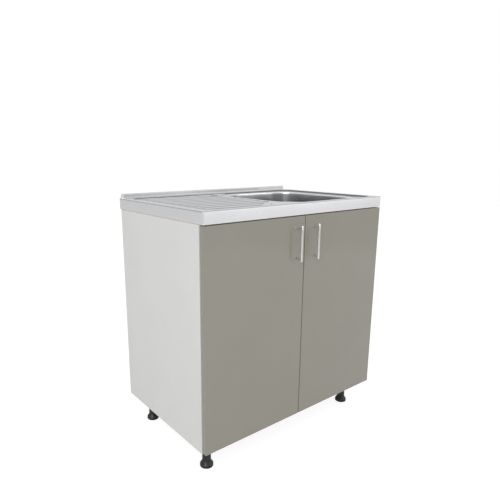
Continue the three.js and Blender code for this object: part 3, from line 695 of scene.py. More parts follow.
class Growth(Graph):
    """A geometry node tree with named inputs, which ends in plain faces of one material."""

    def __init__(self, name, **inputs):
        super().__init__(bpy.data.node_groups.new(name, "GeometryNodeTree"))
        self.add_socket("Geometry", "Geometry", "OUTPUT")
        inputs = {"Geometry": "Geometry", **inputs, "Material": "Material"}
        self.keys = {key: self.add_socket(key, kind, "INPUT") for key, kind in inputs.items()}
        self.entry = self.node("NodeGroupInput").maker

    def add_socket(self, name, kind, way):
        """Adds an input or an output and gives its identifier."""
        kind = "NodeSocket" + kind
        return self.tree.interface.new_socket(name, in_out=way, socket_type=kind).identifier

    def __getitem__(self, name):
        return Wire(self, self.entry.outputs[name])

    def model(self, name):
        """The geometry of an object that comes in by name."""
        sockets = {"Object": self[name]}
        kind = "GeometryNodeObjectInfo"
        return self.node(kind, sockets, "Geometry", transform_space="ORIGINAL")

    def join(self, first, second):
        both = self.node("GeometryNodeJoinGeometry", {"Geometry": first})
        self.feed(both.maker.inputs["Geometry"], second)
        return both

    def real(self, geometry):
        return self.node("GeometryNodeRealizeInstances", {"Geometry": geometry})

    def close(self, geometry):
        """Ends the tree: real faces, one material, out."""
        sockets = {"Geometry": self.real(geometry), "Material": self["Material"]}
        coated = self.node("GeometryNodeSetMaterial", sockets)
        self.node("NodeGroupOutput", {"Geometry": coated})
        return self

    def grow(self, name, seed, **values):
        """Runs the tree on an object and keeps the result as a plain mesh."""
        modifier = seed.modifiers.new("grow", "NODES")
        modifier.node_group = self.tree
        for key, value in values.items():
            modifier[self.keys[key]] = value
        depsgraph = bpy.context.evaluated_depsgraph_get()
        data = bpy.data.meshes.new_from_object(
            seed.evaluated_get(depsgraph), preserve_all_data_layers=True, depsgraph=depsgraph
        )
        data.name = name
        smooth_mesh(data)
        bpy.data.objects.remove(seed)
        return new_object(name, data)


def repeat_about_axis():
    """Repeats the incoming shape about the upright axis and joins it to a core."""
    tree = Growth("repeat about an axis", Count="Int", Weld="Float", Core="Object")
    spots = tree.node("GeometryNodePoints", {"Count": tree["Count"]})
    angle = tree.node("GeometryNodeInputIndex") * (2 * pi) / tree["Count"]
    turn = tree.node("ShaderNodeCombineXYZ", {"Z": angle})
    sockets = {"Points": spots, "Instance": tree["Geometry"], "Rotation": turn}
    copies = tree.real(tree.node("GeometryNodeInstanceOnPoints", sockets))
    sockets = {"Geometry": copies, "Distance": tree["Weld"]}
    welded = tree.node("GeometryNodeMergeByDistance", sockets)
    return tree.close(tree.join(welded, tree.model("Core")))


def set_on_points():
    """Sets a fastener on every point of the incoming mesh, along that point's facing."""
    tree = Growth("set on points", Fastener="Object", Scale="Float")

    def stored(name, kind):
        return tree.node("GeometryNodeInputNamedAttribute", {"Name": name}, data_type=kind)

    facing = {"Vector": stored("facing", "FLOAT_VECTOR")}
    lean = tree.node("FunctionNodeAlignRotationToVector", facing, axis="Z")
    twist = tree.node("ShaderNodeCombineXYZ", {"Z": stored("spin", "FLOAT")})
    sockets = {"Rotation": lean, "Rotate By": twist}
    turn = tree.node("FunctionNodeRotateRotation", sockets, rotation_space="LOCAL")
    sockets = {
        "Points": tree["Geometry"],
        "Instance": tree.model("Fastener"),
        "Rotation": turn,
        "Scale": tree["Scale"],
    }
    return tree.close(tree.node("GeometryNodeInstanceOnPoints", sockets))


def wound_thread():
    """Winds a thread round an upright core."""
    sizes = {"Radius": "Float", "Pitch": "Float", "Foot": "Vector", "Depth": "Float"}
    tree = Growth("wound thread", Turns="Int", **sizes)
    sockets = {
        "Resolution": 20,
        "Rotations": tree["Turns"],
        "Start Radius": tree["Radius"],
        "End Radius": tree["Radius"],
        "Height": tree["Turns"] * tree["Pitch"],
    }
    line = tree.node("GeometryNodeCurveSpiral", sockets)
    sockets = {"Resolution": 4, "Radius": tree["Depth"]}
    ridge = tree.node("GeometryNodeCurvePrimitiveCircle", sockets, mode="RADIUS")
    sockets = {"Curve": line, "Profile Curve": ridge, "Fill Caps": True}
    swept = tree.node("GeometryNodeCurveToMesh", sockets)
    moved = tree.node("GeometryNodeTransform", {"Geometry": swept, "Translation": tree["Foot"]})
    return tree.close(tree.join(moved, tree["Geometry"]))


ABOUT_AXIS = repeat_about_axis()
ON_POINTS = set_on_points()
THREAD = wound_thread()


def raw(name, form):
    """A form as an object about the origin, to be used by a node tree."""
    data = mesh_data(name, form.points, form.faces)
    smooth_mesh(data)
    return new_object(name, data)


def moved_home(made, at):
    """Bakes a place in millimetres into the mesh of a piece made about the origin."""
    made.data.transform(Matrix.Translation(placed(at) * MM))
    return made


def repeated(name, form, core, count, at, material, weld=0.0):
    """A form repeated about an upright axis round a core, as one mesh at its place."""
    seed = raw(name + "_seed", form)
    middle = raw(name + "_core", core)
    made = ABOUT_AXIS.grow(
        name, seed, Count=count, Weld=weld * MM, Core=middle, Material=material
    )
    bpy.data.objects.remove(middle)
    return moved_home(made, at)


def cross(arm, longest, half, level):
    """The outline of a cross with one arm that may be longer, counter-clockwise."""
    star = []
    for quarter, reach in enumerate((longest, arm, arm, arm)):
        turn = Matrix.Rotation(quarter * pi / 2, 2)
        star += [turn @ Vector(p) for p in ((half, -half), (reach, -half), (reach, half))]
    return [(x, y, level) for x, y in star]


def crossed_disc(outline, steps, star, narrowing, floor_level):
    """A disc of unit radius with a cross sunk in its top."""
    form = Form()
    rings = [form.loop(circle(r, z, steps)) for r, z in outline]
    form.fill(rings[0], up=False)
    form.bands(rings, inward=True)
    mouth = form.loop(star)
    floor = form.loop((x * narrowing, y * narrowing, floor_level) for x, y, _ in star)
    form.fill(rings[-1], [mouth])
    form.band(floor, mouth)
    form.fill(floor)
    return form


def cross_head():
    """A pan head of unit radius with a cross recess."""
    outline = [(1, 0), (1, 0.25), (0.93, 0.46), (0.78, 0.62), (0.6, 0.7)]
    return crossed_disc(outline, 20, cross(0.5, 0.5, 0.12, 0.7), 0.7, 0.25)


def cam_disc():
    """A cam fastener seen from its open side: a disc with a cross slot and a pointer."""
    outline = [(1, 0), (1, 0.05), (0.94, 0.1)]
    return crossed_disc(outline, 28, cross(0.42, 0.62, 0.1, 0.1), 0.9, 0.02)


def fasteners(name, shape, spots, radius, body, *nodes):
    """One mesh of plated fasteners: each spot gives a place, a facing and a spin."""
    data = mesh_data(name + "_spots", (placed(at) for at, _, _ in spots))
    data.attributes.new("facing", "FLOAT_VECTOR", "POINT")
    data.attributes.new("spin", "FLOAT", "POINT")
    for i, (_, way, turn) in enumerate(spots):
        data.attributes["facing"].data[i].vector = way
        data.attributes["spin"].data[i].value = turn
    seed = new_object(name + "_spots", data)
    model = raw(name + "_model", shape)
    made = ON_POINTS.grow(name, seed, Fastener=model, Scale=float(radius), Material=NICKEL)
    bpy.data.objects.remove(model)
    dress(made, body, None, "nickel", *nodes)


# ---- Carcass and doors ----


def make_carcass():
    for node in ("left_side_panel", "right_side_panel", "bottom_panel", "front_rail", "rear_rail"):
        board = refined("board_" + node, node, BOARD_EASE)
        dress(board, "cabinet", MELAMINE, "melamine_board", node)


def make_cam_fasteners():
    """Two cams at each end of the bottom panel and of both rails."""
    rear = CARCASS_DEPTH - BOARD
    rows = [(y, LEG_HEIGHT, (0, 0, -1)) for y in (60, 420)]
    rows += [(BOARD, z, (0, 1, 0)) for z in (774, 734)]
    rows += [(rear, z, (0, -1, 0)) for z in (654, 614)]
    spots = []
    for sign in SIDES.values():
        x = sign * (PANEL_INNER - CAM_INSET)
        pointer = 0.0 if sign > 0 else pi
        spots += [((x, y, z), facing, pointer) for y, z, facing in rows]
    fasteners("cam_fasteners", cam_disc(), spots, CAM_HEAD, "cabinet")


def make_doors():
    for side in SIDES:
        node = side + "_door"
        leaf = refined("leaf_" + side, node, DOOR_EASE, segments=3)
        dress(leaf, side + "_leaf", LACQUER, "door_lacquer", node)


def handle_bar():
    end = [(0, -1.0), (0.35, -1.0), (0.72, -0.9), (0.93, -0.65), (1, -0.3)]
    low = [(r * BAR_RADIUS, -HANDLE_HALF + (z + 1) * 2) for r, z in end]
    high = [(r, -z) for r, z in reversed(low)]
    middle = [(BAR_RADIUS, z) for z in (-30, 0, 30)]
    return turned([*low, *middle, *high], 48)


def handle_post():
    """A post with a collar at the door, saddled to the bar."""
    form = Form()
    steps = 40
    door = DOOR_FRONT - HANDLE_AXIS
    waist = POST_RADIUS - 0.3
    saddle = BAR_RADIUS + 0.3
    stations = [(POST_RADIUS, door), (POST_RADIUS, door - 0.3), (waist, door - 0.6)]
    stations.append((waist, BAR_RADIUS + 3))
    rings = [
        form.loop((x, -reach, z) for x, z, _ in circle(radius, 0, steps))
        for radius, reach in stations
    ]
    mouth = [(x, -sqrt(saddle ** 2 - x * x), z) for x, z, _ in circle(waist, 0, steps)]
    rings.append(form.loop(mouth))
    form.bands(rings)
    form.faces.append(rings[0][::-1])
    tip = form.loop([(0, -saddle, 0)])[0]
    last = rings[-1]
    form.faces += [(tip, last[i], last[(i + 1) % steps]) for i in range(steps)]
    return form


def make_handles():
    about = Matrix.Rotation(pi, 4, "Z")
    for side, sign in SIDES.items():
        body = side + "_leaf"
        x = sign * HANDLE_X
        middle = sum(HANDLE_LEVELS) / 2
        bar = piece(side + "_handle_grip", handle_bar(), (x, HANDLE_AXIS, middle))
        dress(bar, body, SATIN, "satin_steel", side + "_handle_bar")
        for level, z in zip(LEVELS, HANDLE_LEVELS):
            name = side + "_handle_pillar_" + level
            post = piece(name, handle_post(), (x, HANDLE_AXIS, z), turn=about)
            dress(post, body, SATIN, "satin_steel", side + "_handle_post_" + level)
        spots = [((x, DOOR_BACK, z), (0, 1, 0), 0.4 + z) for z in HANDLE_LEVELS]
        nodes = [side + "_handle_screw_" + level for level in LEVELS]
        name = side + "_handle_screw_heads"
        fasteners(name, cross_head(), spots, HANDLE_HEAD, body, *nodes)


def make_bumpers():
    dome = [(0, 0), (4, 0), (4, 1.0), (3.7, 1.6), (3.0, 2.0), (1.8, 2.2), (0, 2.2)]
    lean = Matrix.Rotation(-pi / 2, 4, "X")
    for side, sign in SIDES.items():
        for level, z in zip(LEVELS, BUMPER_LEVELS):
            node = side + "_door_bumper_" + level
            at = (sign * BUMPER_X, DOOR_BACK, z)
            made = piece(node + "_dome", turned(dome, 32), at, turn=lean)
            dress(made, side + "_leaf", CLEAR, "soft_clear", node)


def make_hinges():
    for side, sign in SIDES.items():
        leaf = side + "_leaf"
        leaf_spots, panel_spots = [], []
        for level, z in zip(LEVELS, HINGE_LEVELS):
            for part, body in (("cup", leaf), ("arm", "cabinet"), ("plate", "cabinet")):
                node = side + "_hinge_" + part + "_" + level
                dress(refined(node + "_pressed", node, HINGE_EASE), body, NICKEL, "nickel", node)
            for up in (-1, 1):
                cup = (sign * CUP_X, DOOR_BACK + CUP_RISE, z + up * CUP_WING)
                leaf_spots.append((cup, (0, 1, 0), 0.3 * up))
                plate = (sign * (PANEL_INNER - PLATE_RISE), PLATE_Y, z + up * PLATE_HOLE)
                panel_spots.append((plate, (-sign, 0, 0), 0.7 * up))
        fasteners(side + "_cup_screws", cross_head(), leaf_spots, HINGE_HEAD, leaf)
        fasteners(side + "_plate_screws", cross_head(), panel_spots, HINGE_HEAD, "cabinet")


# ---- Legs ----

LEG_STEPS = 48


def leg_socket():
    """The socket's turned body: a flange with a bead, a sleeve and its open mouth."""
    inside = [(0, 96), (12.3, 96), (12.3, 22.0)]
    sleeve = [(12.8, 21.3), (14.0, 21.3), (14.5, 21.8), (14.5, 30.0), (14.1, 30.6)]
    sleeve += [(14.1, 33.0), (14.5, 33.6), (14.5, 94.5), (15.6, 95.6), (17.0, 96)]
    flange = [(26.8, 96), (28, 97.2), (28, 100), (0, 100)]
    return turned([*inside, *sleeve, *flange], LEG_STEPS)


def gusset():
    """One web between the sleeve and the flange, with a hollow outer edge."""
    web = Form()
    edge = [(13.6, 97.0), (13.6, 80.5)]
    for i in range(9):
        t = i / 8
        edge.append((14.6 + 11.6 * t, 81.0 + 15.5 * t * t))
    edge.append((26.2, 97.0))
    turn = Matrix.Rotation(pi / 4, 4, "Z")
    near, far = (
        web.loop(turn @ Vector((x, half, z)) for x, z in edge) for half in (-1.2, 1.2)
    )
    web.faces += [near, far[::-1]]
    web.band(near, far)
    return web


def leg_foot():
    """The foot: a tread with a groove round its rim, a tapered shoulder and the stem's core."""
    tread = [(0, 0), (19.5, 0), (21.2, 0.4), (22, 1.6), (22, 3.4), (21.5, 3.9)]
    tread += [(21.5, 4.5), (22, 5.0), (22, 8.6), (21.4, 9.8), (20.2, 10.9)]
    shoulder = [(15.4, 19.6), (14.6, 20.6), (13.2, 21)]
    stem = [(11.3, 21), (11.3, 94.8), (10.8, 95.4), (0, 95.4)]
    return turned([*tread, *shoulder, *stem], LEG_STEPS)


def make_legs():
    foot = (0, 0, 24.0 * MM)
    thread = {"Radius": 11.4 * MM, "Pitch": 3.0 * MM, "Depth": 0.6 * MM, "Turns": 23}
    for tag, sign, y in each_corner(LEG_ROWS):
        at = (sign * LEG_X, y, 0)
        made = repeated(tag + "_socket", gusset(), leg_socket(), 4, at, BLACK)
        dress(made, "cabinet", None, "black_plastic", tag + "_leg_socket")
        seed = raw(tag + "_stem", leg_foot())
        made = THREAD.grow(tag + "_screw_foot", seed, Foot=foot, Material=BLACK, **thread)
        dress(moved_home(made, at), tag + "_foot_screw", None, "black_plastic", tag + "_foot")


def make_leg_screws():
    """Four screws up through each socket's flange."""
    flange, reach = 96, 21.5
    spots = []
    for _, sign, y in each_corner(LEG_ROWS):
        for quarter in range(4):
            angle = quarter * pi / 2
            x = sign * LEG_X + reach * cos(angle)
            spots.append(((x, y + reach * sin(angle), flange), (0, 0, -1), 0.5 + quarter))
    fasteners("leg_screws", cross_head(), spots, LEG_HEAD, "cabinet")


# ---- Sink ----


def field_level(x):
    """The drainer's fall towards the bowl."""
    return -FIELD_DROP - FIELD_FALL * (x + BORDER_X) / (2 * BORDER_X)


def arc(radius, level):
    """The bend from a flat into an upright face, as [inset, level] pairs."""
    angles = quarter_turn(5, 1)
    return [(radius - radius * sin(a), level - radius * (1 - cos(a))) for a in angles]


def edge_profiles():
    """The sheet's edge from the deck over the rim, down the skirt and in along the lip."""
    turn_in = []
    for a in quarter_turn(4):
        inset, level = LIP_RADIUS * (1 - cos(a)), LIP_RADIUS * (1 - sin(a))
        turn_in.append((inset, level - SKIRT_HEIGHT))
    turn_in.append((SKIRT_LIP, -SKIRT_HEIGHT))
    r = RIDGE_HOLLOW
    hollow = RIDGE_DEPTH + r
    ridge = [(hollow - r * sin(a), r - r * cos(a)) for a in quarter_turn(4)]
    for a in quarter_turn(4):
        inset = RIDGE_DEPTH - RIDGE_ROUND * (1 - cos(a))
        ridge.append((inset, RIDGE_HEIGHT - RIDGE_ROUND * (1 - sin(a))))
    ridge.append((RIDGE_ROUND, RIDGE_HEIGHT))
    width = EDGE_RADIUS - hollow
    last = len(ridge) - 1
    plain = [(hollow + width * i / last, 0) for i in range(last + 1)]
    plain += arc(EDGE_RADIUS, 0) + turn_in
    ridge += arc(RIDGE_ROUND, RIDGE_HEIGHT) + turn_in
    return plain, ridge


def edge_shades(level, ridge_inset, ridge_level):
    """How much painted shade one loop of the edge carries, plain and along the ridge: most halfway
    across each bend.
    """

    def shade_profile(share):
        return sin(pi * min(1, max(0, share)))

    if ridge_inset > RIDGE_ROUND:
        ridge = RIDGE_PAINTED_SHADE * shade_profile(ridge_level / RIDGE_HEIGHT)
    else:
        ridge = CREST_PAINTED_SHADE * shade_profile((RIDGE_HEIGHT - ridge_level) / RIDGE_ROUND)
    return RIM_PAINTED_SHADE * shade_profile(-level / EDGE_RADIUS), ridge


def add_edge(form, steps=8):
    """The rim, the rear ridge and the skirt; gives the loop where the flat deck starts."""
    front, back = -DECK_DEPTH / 2, DECK_DEPTH / 2 + RIDGE_DEPTH
    half = UNIT_WIDTH / 2
    ridge_place = 2 * (steps + 1)
    loops = []
    for (inset, level), (ridge_inset, ridge_level) in zip(*edge_profiles()):
        # Painted shade on the rim's bend, the ridge's front and its crest.
        painted_shade, ridge_shade = edge_shades(level, ridge_inset, ridge_level)
        radius = max(CORNER_RADIUS - inset, 1)
        box = (inset - half, half - inset, front + inset, back - inset)
        points = [(x, y, level) for x, y in rounded_outline(*box, radius, steps)]
        painted_shades = [painted_shade] * len(points)
        end = half - inset - radius - RIDGE_END
        crest = [(x, back - ridge_inset, ridge_level) for x in (end, -end)]
        points[ridge_place:ridge_place] = crest
        painted_shades[ridge_place:ridge_place] = [ridge_shade] * 2
        loops.append(form.loop(points, painted_shades))
    form.bands(loops)
    return loops[0]


def stepped(form, outline, reach, foot, top, painted_shade, steps=5):
    """A raised or sunk area with an eased slope round it; gives its foot and its top loop."""
    loops = []
    for across, up in eased(steps):
        outer = outline(reach * across)
        points = [(x, y, foot(x) + (top(x) - foot(x)) * up) for x, y in outer]
        # Painted shade on the slope, darkest halfway across it.
        shade_profile = sin(pi * across)
        loops.append(form.loop(points, [shade_profile * painted_shade(y) for _, y in outer]))
    form.bands(loops, inward=True)
    return loops[0], loops[-1]


def rib_end(y):
    """Where a rib stops: short of the bowl and of the ledge's curve."""
    long = BOWL_X - BOWL_HALF_X - RIB_BOWL_GAP
    share = (BORDER_Y - y - RIB_LEDGE_GAP) / LEDGE_DEPTH
    if share >= 1:
        return long
    reach = acos(sqrt(max(share, 0))) * 2 / pi
    return min(long, LEDGE_X - LEDGE_HALF * reach)


def add_rib(form, row):
    y = (row - (RIB_COUNT - 1) / 2) * RIB_PITCH
    front, back = y - RIB_WIDTH / 2, y + RIB_WIDTH / 2
    start, end = RIB_MARGIN - BORDER_X, rib_end(abs(y) + RIB_WIDTH / 2)

    def outline(inset):
        box = (start + inset, end - inset, front + inset, back - inset)
        return rounded_outline(*box, RIB_RADIUS - inset, steps=8)

    def crown(x):
        return field_level(x) + RIB_HEIGHT

    # The rib's slope carries painted shade.
    foot, top = stepped(form, outline, RIB_SLOPE, field_level, crown, lambda y: RIB_PAINTED_SHADE)
    form.fill(top)
    return foot


def ledge_outline(side, inset, steps=56):
    """A bell-shaped curve out from the border, and back beside it."""
    back = BORDER_Y - BORDER_STEP - LEDGE_MARGIN - inset
    depth = LEDGE_DEPTH - inset
    reach = 2 / pi * acos(sqrt((BORDER_Y - back) / depth))
    points = []
    for i in range(steps + 1):
        share = 2 * i / steps - 1
        swell = cos(share * reach * pi / 2) ** 2
        x = LEDGE_X + share * reach * (LEDGE_HALF - inset)
        points.append((x, side * (BORDER_Y - depth * swell)))
    return points if side > 0 else points[::-1]


def ledge_shade(y):
    """Painted shade on the ledge's slope: full on the curve, fading to none on the edge beside the
    border.
    """
    clear = BORDER_Y - BORDER_STEP - LEDGE_MARGIN - LEDGE_SLOPE - abs(y)
    return LEDGE_PAINTED_SHADE * min(1, max(0, clear / PAINTED_SHADE_FADE))


def add_ledge(form, side):
    """The ledge for the tap at the back, or its mirror image at the front."""

    def outline(inset):
        return ledge_outline(side, inset)

    # The ledge's slope carries painted shade.
    foot, top = stepped(
        form, outline, LEDGE_SLOPE, field_level, lambda x: -LEDGE_DROP, ledge_shade
    )
    holes = []
    if side > 0:
        y = DECK_DEPTH / 2 - TAP_HOLE_INSET
        rings = [
            form.loop(circle(TAP_HOLE_RADIUS + wider, -LEDGE_DROP - lower, 64, LEDGE_X, y))
            for wider, lower in ((0.8, 0), (0.2, 0.25), (0, 0.8))
        ]
        form.bands(rings, inward=True)
        holes.append(rings[0])
    form.fill(top, holes)
    return foot


def bowl_ring(half_x, half_y):
    """A superellipse about the bowl's middle, at even angles."""
    points = []
    for i in range(BOWL_STEPS):
        angle = 2 * pi * i / BOWL_STEPS
        c, s = cos(angle), sin(angle)
        total = abs(c / half_x) ** BOWL_POWER + abs(s / half_y) ** BOWL_POWER
        radius = total ** (-1 / BOWL_POWER)
        points.append((BOWL_X + radius * c, radius * s))
    return points


def bowl_wall():
    """The wall as [share of the taper, level] pairs: a steep draft and a round fillet."""
    top = -FIELD_DROP - FIELD_FALL - BOWL_LIP
    fillet_top = BOWL_FLOOR + BOWL_FILLET
    shares = [i / 8 for i in range(8)]
    wall = [(BOWL_DRAFT * t, top + (fillet_top - top) * t) for t in shares]
    for a in quarter_turn(16):
        share = BOWL_DRAFT + (1 - BOWL_DRAFT) * (1 - cos(a))
        wall.append((share, fillet_top - BOWL_FILLET * sin(a)))
    return wall


def add_bowl(form):
    """The bowl with its rolled edge, sloping floor and drain; gives its edge in the field."""
    loops = []
    for a in quarter_turn(6):
        out, down = BOWL_LIP * (1 - sin(a)), BOWL_LIP * (1 - cos(a))
        ring = bowl_ring(BOWL_HALF_X + out, BOWL_HALF_Y + out)
        loops.append(form.loop((x, y, field_level(x) - down) for x, y in ring))
    for share, level in bowl_wall():
        ring = bowl_ring(BOWL_HALF_X - share * BOWL_TAPER_X, BOWL_HALF_Y - share * BOWL_TAPER_Y)
        loops.append(form.loop((x, y, level) for x, y in ring))
    outer = bowl_ring(BOWL_HALF_X - BOWL_TAPER_X, BOWL_HALF_Y - BOWL_TAPER_Y)
    inner = circle(RECESS_RADIUS, 0, BOWL_STEPS, DRAIN_X)
    for i in range(1, 9):
        t = i / 8
        points = [
            (x0 + (x1 - x0) * t, y0 + (y1 - y0) * t, BOWL_FLOOR - DRAIN_FALL * t)
            for (x0, y0), (x1, y1, _) in zip(outer, inner)
        ]
        loops.append(form.loop(points))
    for across, down in eased(4)[1:]:
        radius = RECESS_RADIUS - RECESS_SLOPE * across
        level = BOWL_FLOOR - DRAIN_FALL - RECESS_DROP * down
        # Painted shade on the recess's slope round the drain.
        painted_shades = [sin(pi * across) * RECESS_PAINTED_SHADE] * BOWL_STEPS
        loops.append(form.loop(circle(radius, level, BOWL_STEPS, DRAIN_X), painted_shades))
    loops.append(form.loop(circle(DRAIN_RADIUS, DRAIN_SEAT, BOWL_STEPS, DRAIN_X)))
    form.bands(loops, inward=True)
    return loops[0]


def make_sink_top():
    form = Form()
    deck = add_edge(form)

    def border(inset):
        x, y = BORDER_X - inset, BORDER_Y - inset
        return rounded_outline(-x, x, -y, y, BORDER_RADIUS - inset, steps=16)

    # The border step's slope carries painted shade.
    rim, field = stepped(
        form, border, BORDER_STEP, lambda x: 0, field_level, lambda y: BORDER_PAINTED_SHADE
    )
    form.fill(deck, [rim])
    holes = [add_rib(form, row) for row in range(RIB_COUNT)]
    holes += [add_ledge(form, 1), add_ledge(form, -1), add_bowl(form)]
    form.fill(field, holes)
    made = piece("pressed_sink", form, (0, DECK_MIDDLE, RIM_LEVEL), SHEET_ANGLE)
    wall = made.modifiers.new("sheet", "SOLIDIFY")
    wall.thickness = SHEET * MM
    wall.offset = -1
    wall.use_even_offset = True
    made.modifiers.new("flat", "WEIGHTED_NORMAL").keep_sharp = True
    dress(made, "cabinet", STEEL, "sink_steel", "sink_top")


# ---- Waste and strainer ----

AT_DRAIN = (DRAIN_X, DECK_MIDDLE, RIM_LEVEL + DRAIN_SEAT)


def waste_flange():
    """The dish that the strainer sits in, with painted shade on all of it below where it turns
    down into its cup.
    """
    dish = [(57, 0.3), (56.6, 1.1), (54.5, 1.7), (50, 2.2), (47.8, 2.4), (43.6, 2.1)]
    dish += [(42, 1.4), (40.6, -2), (39.8, -9)]
    cup = [(37.3, -12), (37.3, -38.5), (35, -40.8), (23, -41.6), (21, -43), (21, -58)]
    outside = [(22.8, -58), (22.8, -43.6), (24, -43), (36, -42), (38.5, -39.6)]
    outside += [(38.5, -13), (44.2, -1.1), (44.2, 0.3)]
    form = turned_ring([*dish, *cup, *outside], 96)
    # Painted shade on every point more than 2 mm below the dish's top.
    form.painted_shades = [float(z < -2) for _, _, z in form.points]
    return form


def make_waste():
    dish = piece("waste_dish", waste_flange(), AT_DRAIN, EDGE_ANGLE)
    dress(dish, "cabinet", STEEL, "sink_steel", "waste_flange")
    gasket = rounded([(45.1, -3.6), (56.1, -3.6), (56.1, -1.1), (45.1, -1.1)], 0.6)
    seal = piece("waste_seal_ring", turned_ring(gasket, 80), AT_DRAIN)
    dress(seal, "cabinet", RUBBER, "rubber", "waste_gasket")
    nut = [(38.8, -20.9), (43.5, -20.9), (45.5, -6.9), (55.3, -6.9), (55.3, -3.9)]
    nut = turned_ring(rounded([*nut, (45.1, -3.9), (38.8, -13.3)], 0.5), 80)
    grip = block(44.0, 55.3, -1.1, 1.1, -13.5, -6.5)
    made = repeated("waste_ring_nut", grip, nut, 16, AT_DRAIN, WHITE)
    dress(made, "cabinet", None, "white_plastic", "waste_clamp_nut")
    pipe = [(17.4, -128.3), (19.2, -128.3), (19.2, -61.3), (22.2, -61.3), (22.2, -58.3)]
    pipe = turned_ring(rounded([*pipe, (17.4, -58.3)], 0.4))
    made = piece("waste_tail_pipe", pipe, AT_DRAIN)
    dress(made, "cabinet", WHITE, "white_plastic", "waste_outlet")
    collar = [(19.5, -64.6), (25.4, -64.6), (25.4, -46.8), (22.8, -46.8), (22.8, -61.6)]
    collar = turned_ring(rounded([*collar, (19.5, -61.6)], 0.4))
    rib = block(24.6, 26.3, -0.9, 0.9, -63.8, -47.6)
    made = repeated("waste_tail_nut", rib, collar, 20, AT_DRAIN, WHITE)
    dress(made, "cabinet", None, "white_plastic", "waste_outlet_nut")


def basket_sector():
    """One eighteenth of the slotted dish, as a closed wall with its wedge-shaped slot."""
    rim, floor = FLANGE_TOP + 0.3, FLANGE_TOP - 4.7
    flat, edge, sheet = 21.5, 44, 0.9
    slot_in, slot_out = 21.8, 41.9
    closed, spoke_half, in_round, out_round = 0.02, 2.5, 1.4, 2.2
    wedge = pi / SLOT_COUNT

    def top(radius):
        """The wall rises from the flat floor, and its last millimetre turns down."""
        rise = max(0.0, (radius - flat) / (edge - flat)) ** 0.8
        return floor + 1 + (rim - floor - 0.4) * rise - (closed if radius > edge - 1 else 0)

    def slot(radius):
        """Half the slot's width, which leaves a spoke of even width and has round ends."""
        full = radius * sin(wedge - asin(spoke_half / radius))
        end = min((radius - slot_in) / in_round, (slot_out - radius) / out_round, 1)
        return max(full * sqrt(max(1 - (1 - end) ** 2, 0)), closed)

    radii = [slot_in + d for d in (0, 0.15, 0.5, 0.9, 1.4)] + [26, 28, 31, 34, 37]
    radii += [slot_out - d for d in (2.2, 1.4, 0.8, 0.3, 0)]
    stations = [(radius, closed) for radius in (2.0, 10, 20.8)]
    stations += [(radius, slot(radius)) for radius in radii]
    stations += [(radius, closed) for radius in (42.6, edge)]
    form = Form()
    rows = []
    for radius, width in stations:
        gap = asin(min(width, radius) / radius)
        angles = [-wedge, -(wedge + gap) / 2, -gap, gap, (wedge + gap) / 2, wedge]
        across = [(radius * cos(a), radius * sin(a)) for a in angles]
        level = top(radius)
        rows.append([form.loop((x, y, z) for x, y in across) for z in (level, level - sheet)])
    ends = zip(stations, stations[1:])
    for (up0, low0), (up1, low1), (here, after) in zip(rows, rows[1:], ends):
        in_slot = slot_in <= here[0] and after[0] <= slot_out
        for k in range(5):
            if k == 2 and in_slot:
                continue
            form.faces.append((up0[k], up1[k], up1[k + 1], up0[k + 1]))
            form.faces.append((low0[k + 1], low1[k + 1], low1[k], low0[k]))
        if in_slot:
            form.faces.append((up0[2], low0[2], low1[2], up1[2]))
            form.faces.append((up1[3], low1[3], low0[3], up0[3]))
    first, last = rows[0], rows[-1]
    for k in range(5):
        form.faces.append((first[0][k], first[0][k + 1], first[1][k + 1], first[1][k]))
        form.faces.append((last[1][k], last[1][k + 1], last[0][k + 1], last[0][k]))
    return form


def strainer_knob():
    """The knob on its round foot, with the stem and its stop under the dish."""
    base = FLANGE_TOP - 3.4
    stop = [(0, -8.0), (4.8, -8.0), (6, -7.2), (6, -6.2), (5.8, -5.9), (1.7, -5.9)]
    foot = [(1.7, 0), (14.1, 0), (14.7, 0.4), (14.5, 1.1), (13.0, 1.6), (8.5, 2.2)]
    waist = [(5.2, 2.9), (3.9, 3.8), (3.5, 5), (3.6, 6.1), (4.6, 6.8)]
    knob = [(5, 7.6), (4.9, 8.4), (4.2, 9), (3.2, 8.7), (0, 8.5)]
    above = [(radius, base + rise) for radius, rise in (*foot, *waist, *knob)]
    return turned([*stop, *above], 56)


def make_strainer():
    sector = basket_sector()
    made = repeated("strainer_dish", sector, Form(), SLOT_COUNT, AT_DRAIN, SPUN, weld=0.01)
    dress(made, "strainer", None, "satin_steel", "strainer_basket")
    seal = rounded([(2.3, -6.0), (22, -6.0), (24, -4.5), (23, -3.0), (2.3, -3.0)], 0.4)
    made = piece("strainer_rubber", turned_ring(seal), AT_DRAIN)
    dress(made, "strainer", RUBBER, "rubber", "strainer_seal")
    made = piece("strainer_button", strainer_knob(), AT_DRAIN)
    dress(made, "strainer", SPUN, "satin_steel", "strainer_knob")


# ---- Clips ----


def make_clips():
    spots, nodes = [], []
    for tag, sign, y in each_corner(CLIP_ROWS):
        made = refined(tag + "_bent_clip", tag + "_sink_clip", CLIP_EASE)
        dress(made, "cabinet", NICKEL, "nickel", tag + "_sink_clip")
        place = (sign * (PANEL_INNER - CLIP_RISE), y, CARCASS_TOP - CLIP_SCREW_DROP)
        spots.append((place, (-sign, 0, 0), y * 1.0))
        nodes.append(tag + "_clip_screw")
    fasteners("clip_screw_heads", cross_head(), spots, CLIP_HEAD, "cabinet", *nodes)


make_carcass()
make_cam_fasteners()
make_doors()
make_handles()
make_bumpers()
make_hinges()
make_legs()
make_leg_screws()
make_sink_top()
make_waste()
make_strainer()
make_clips()


# ---- Floor, light and camera ----

FLOOR_HALF = 9000

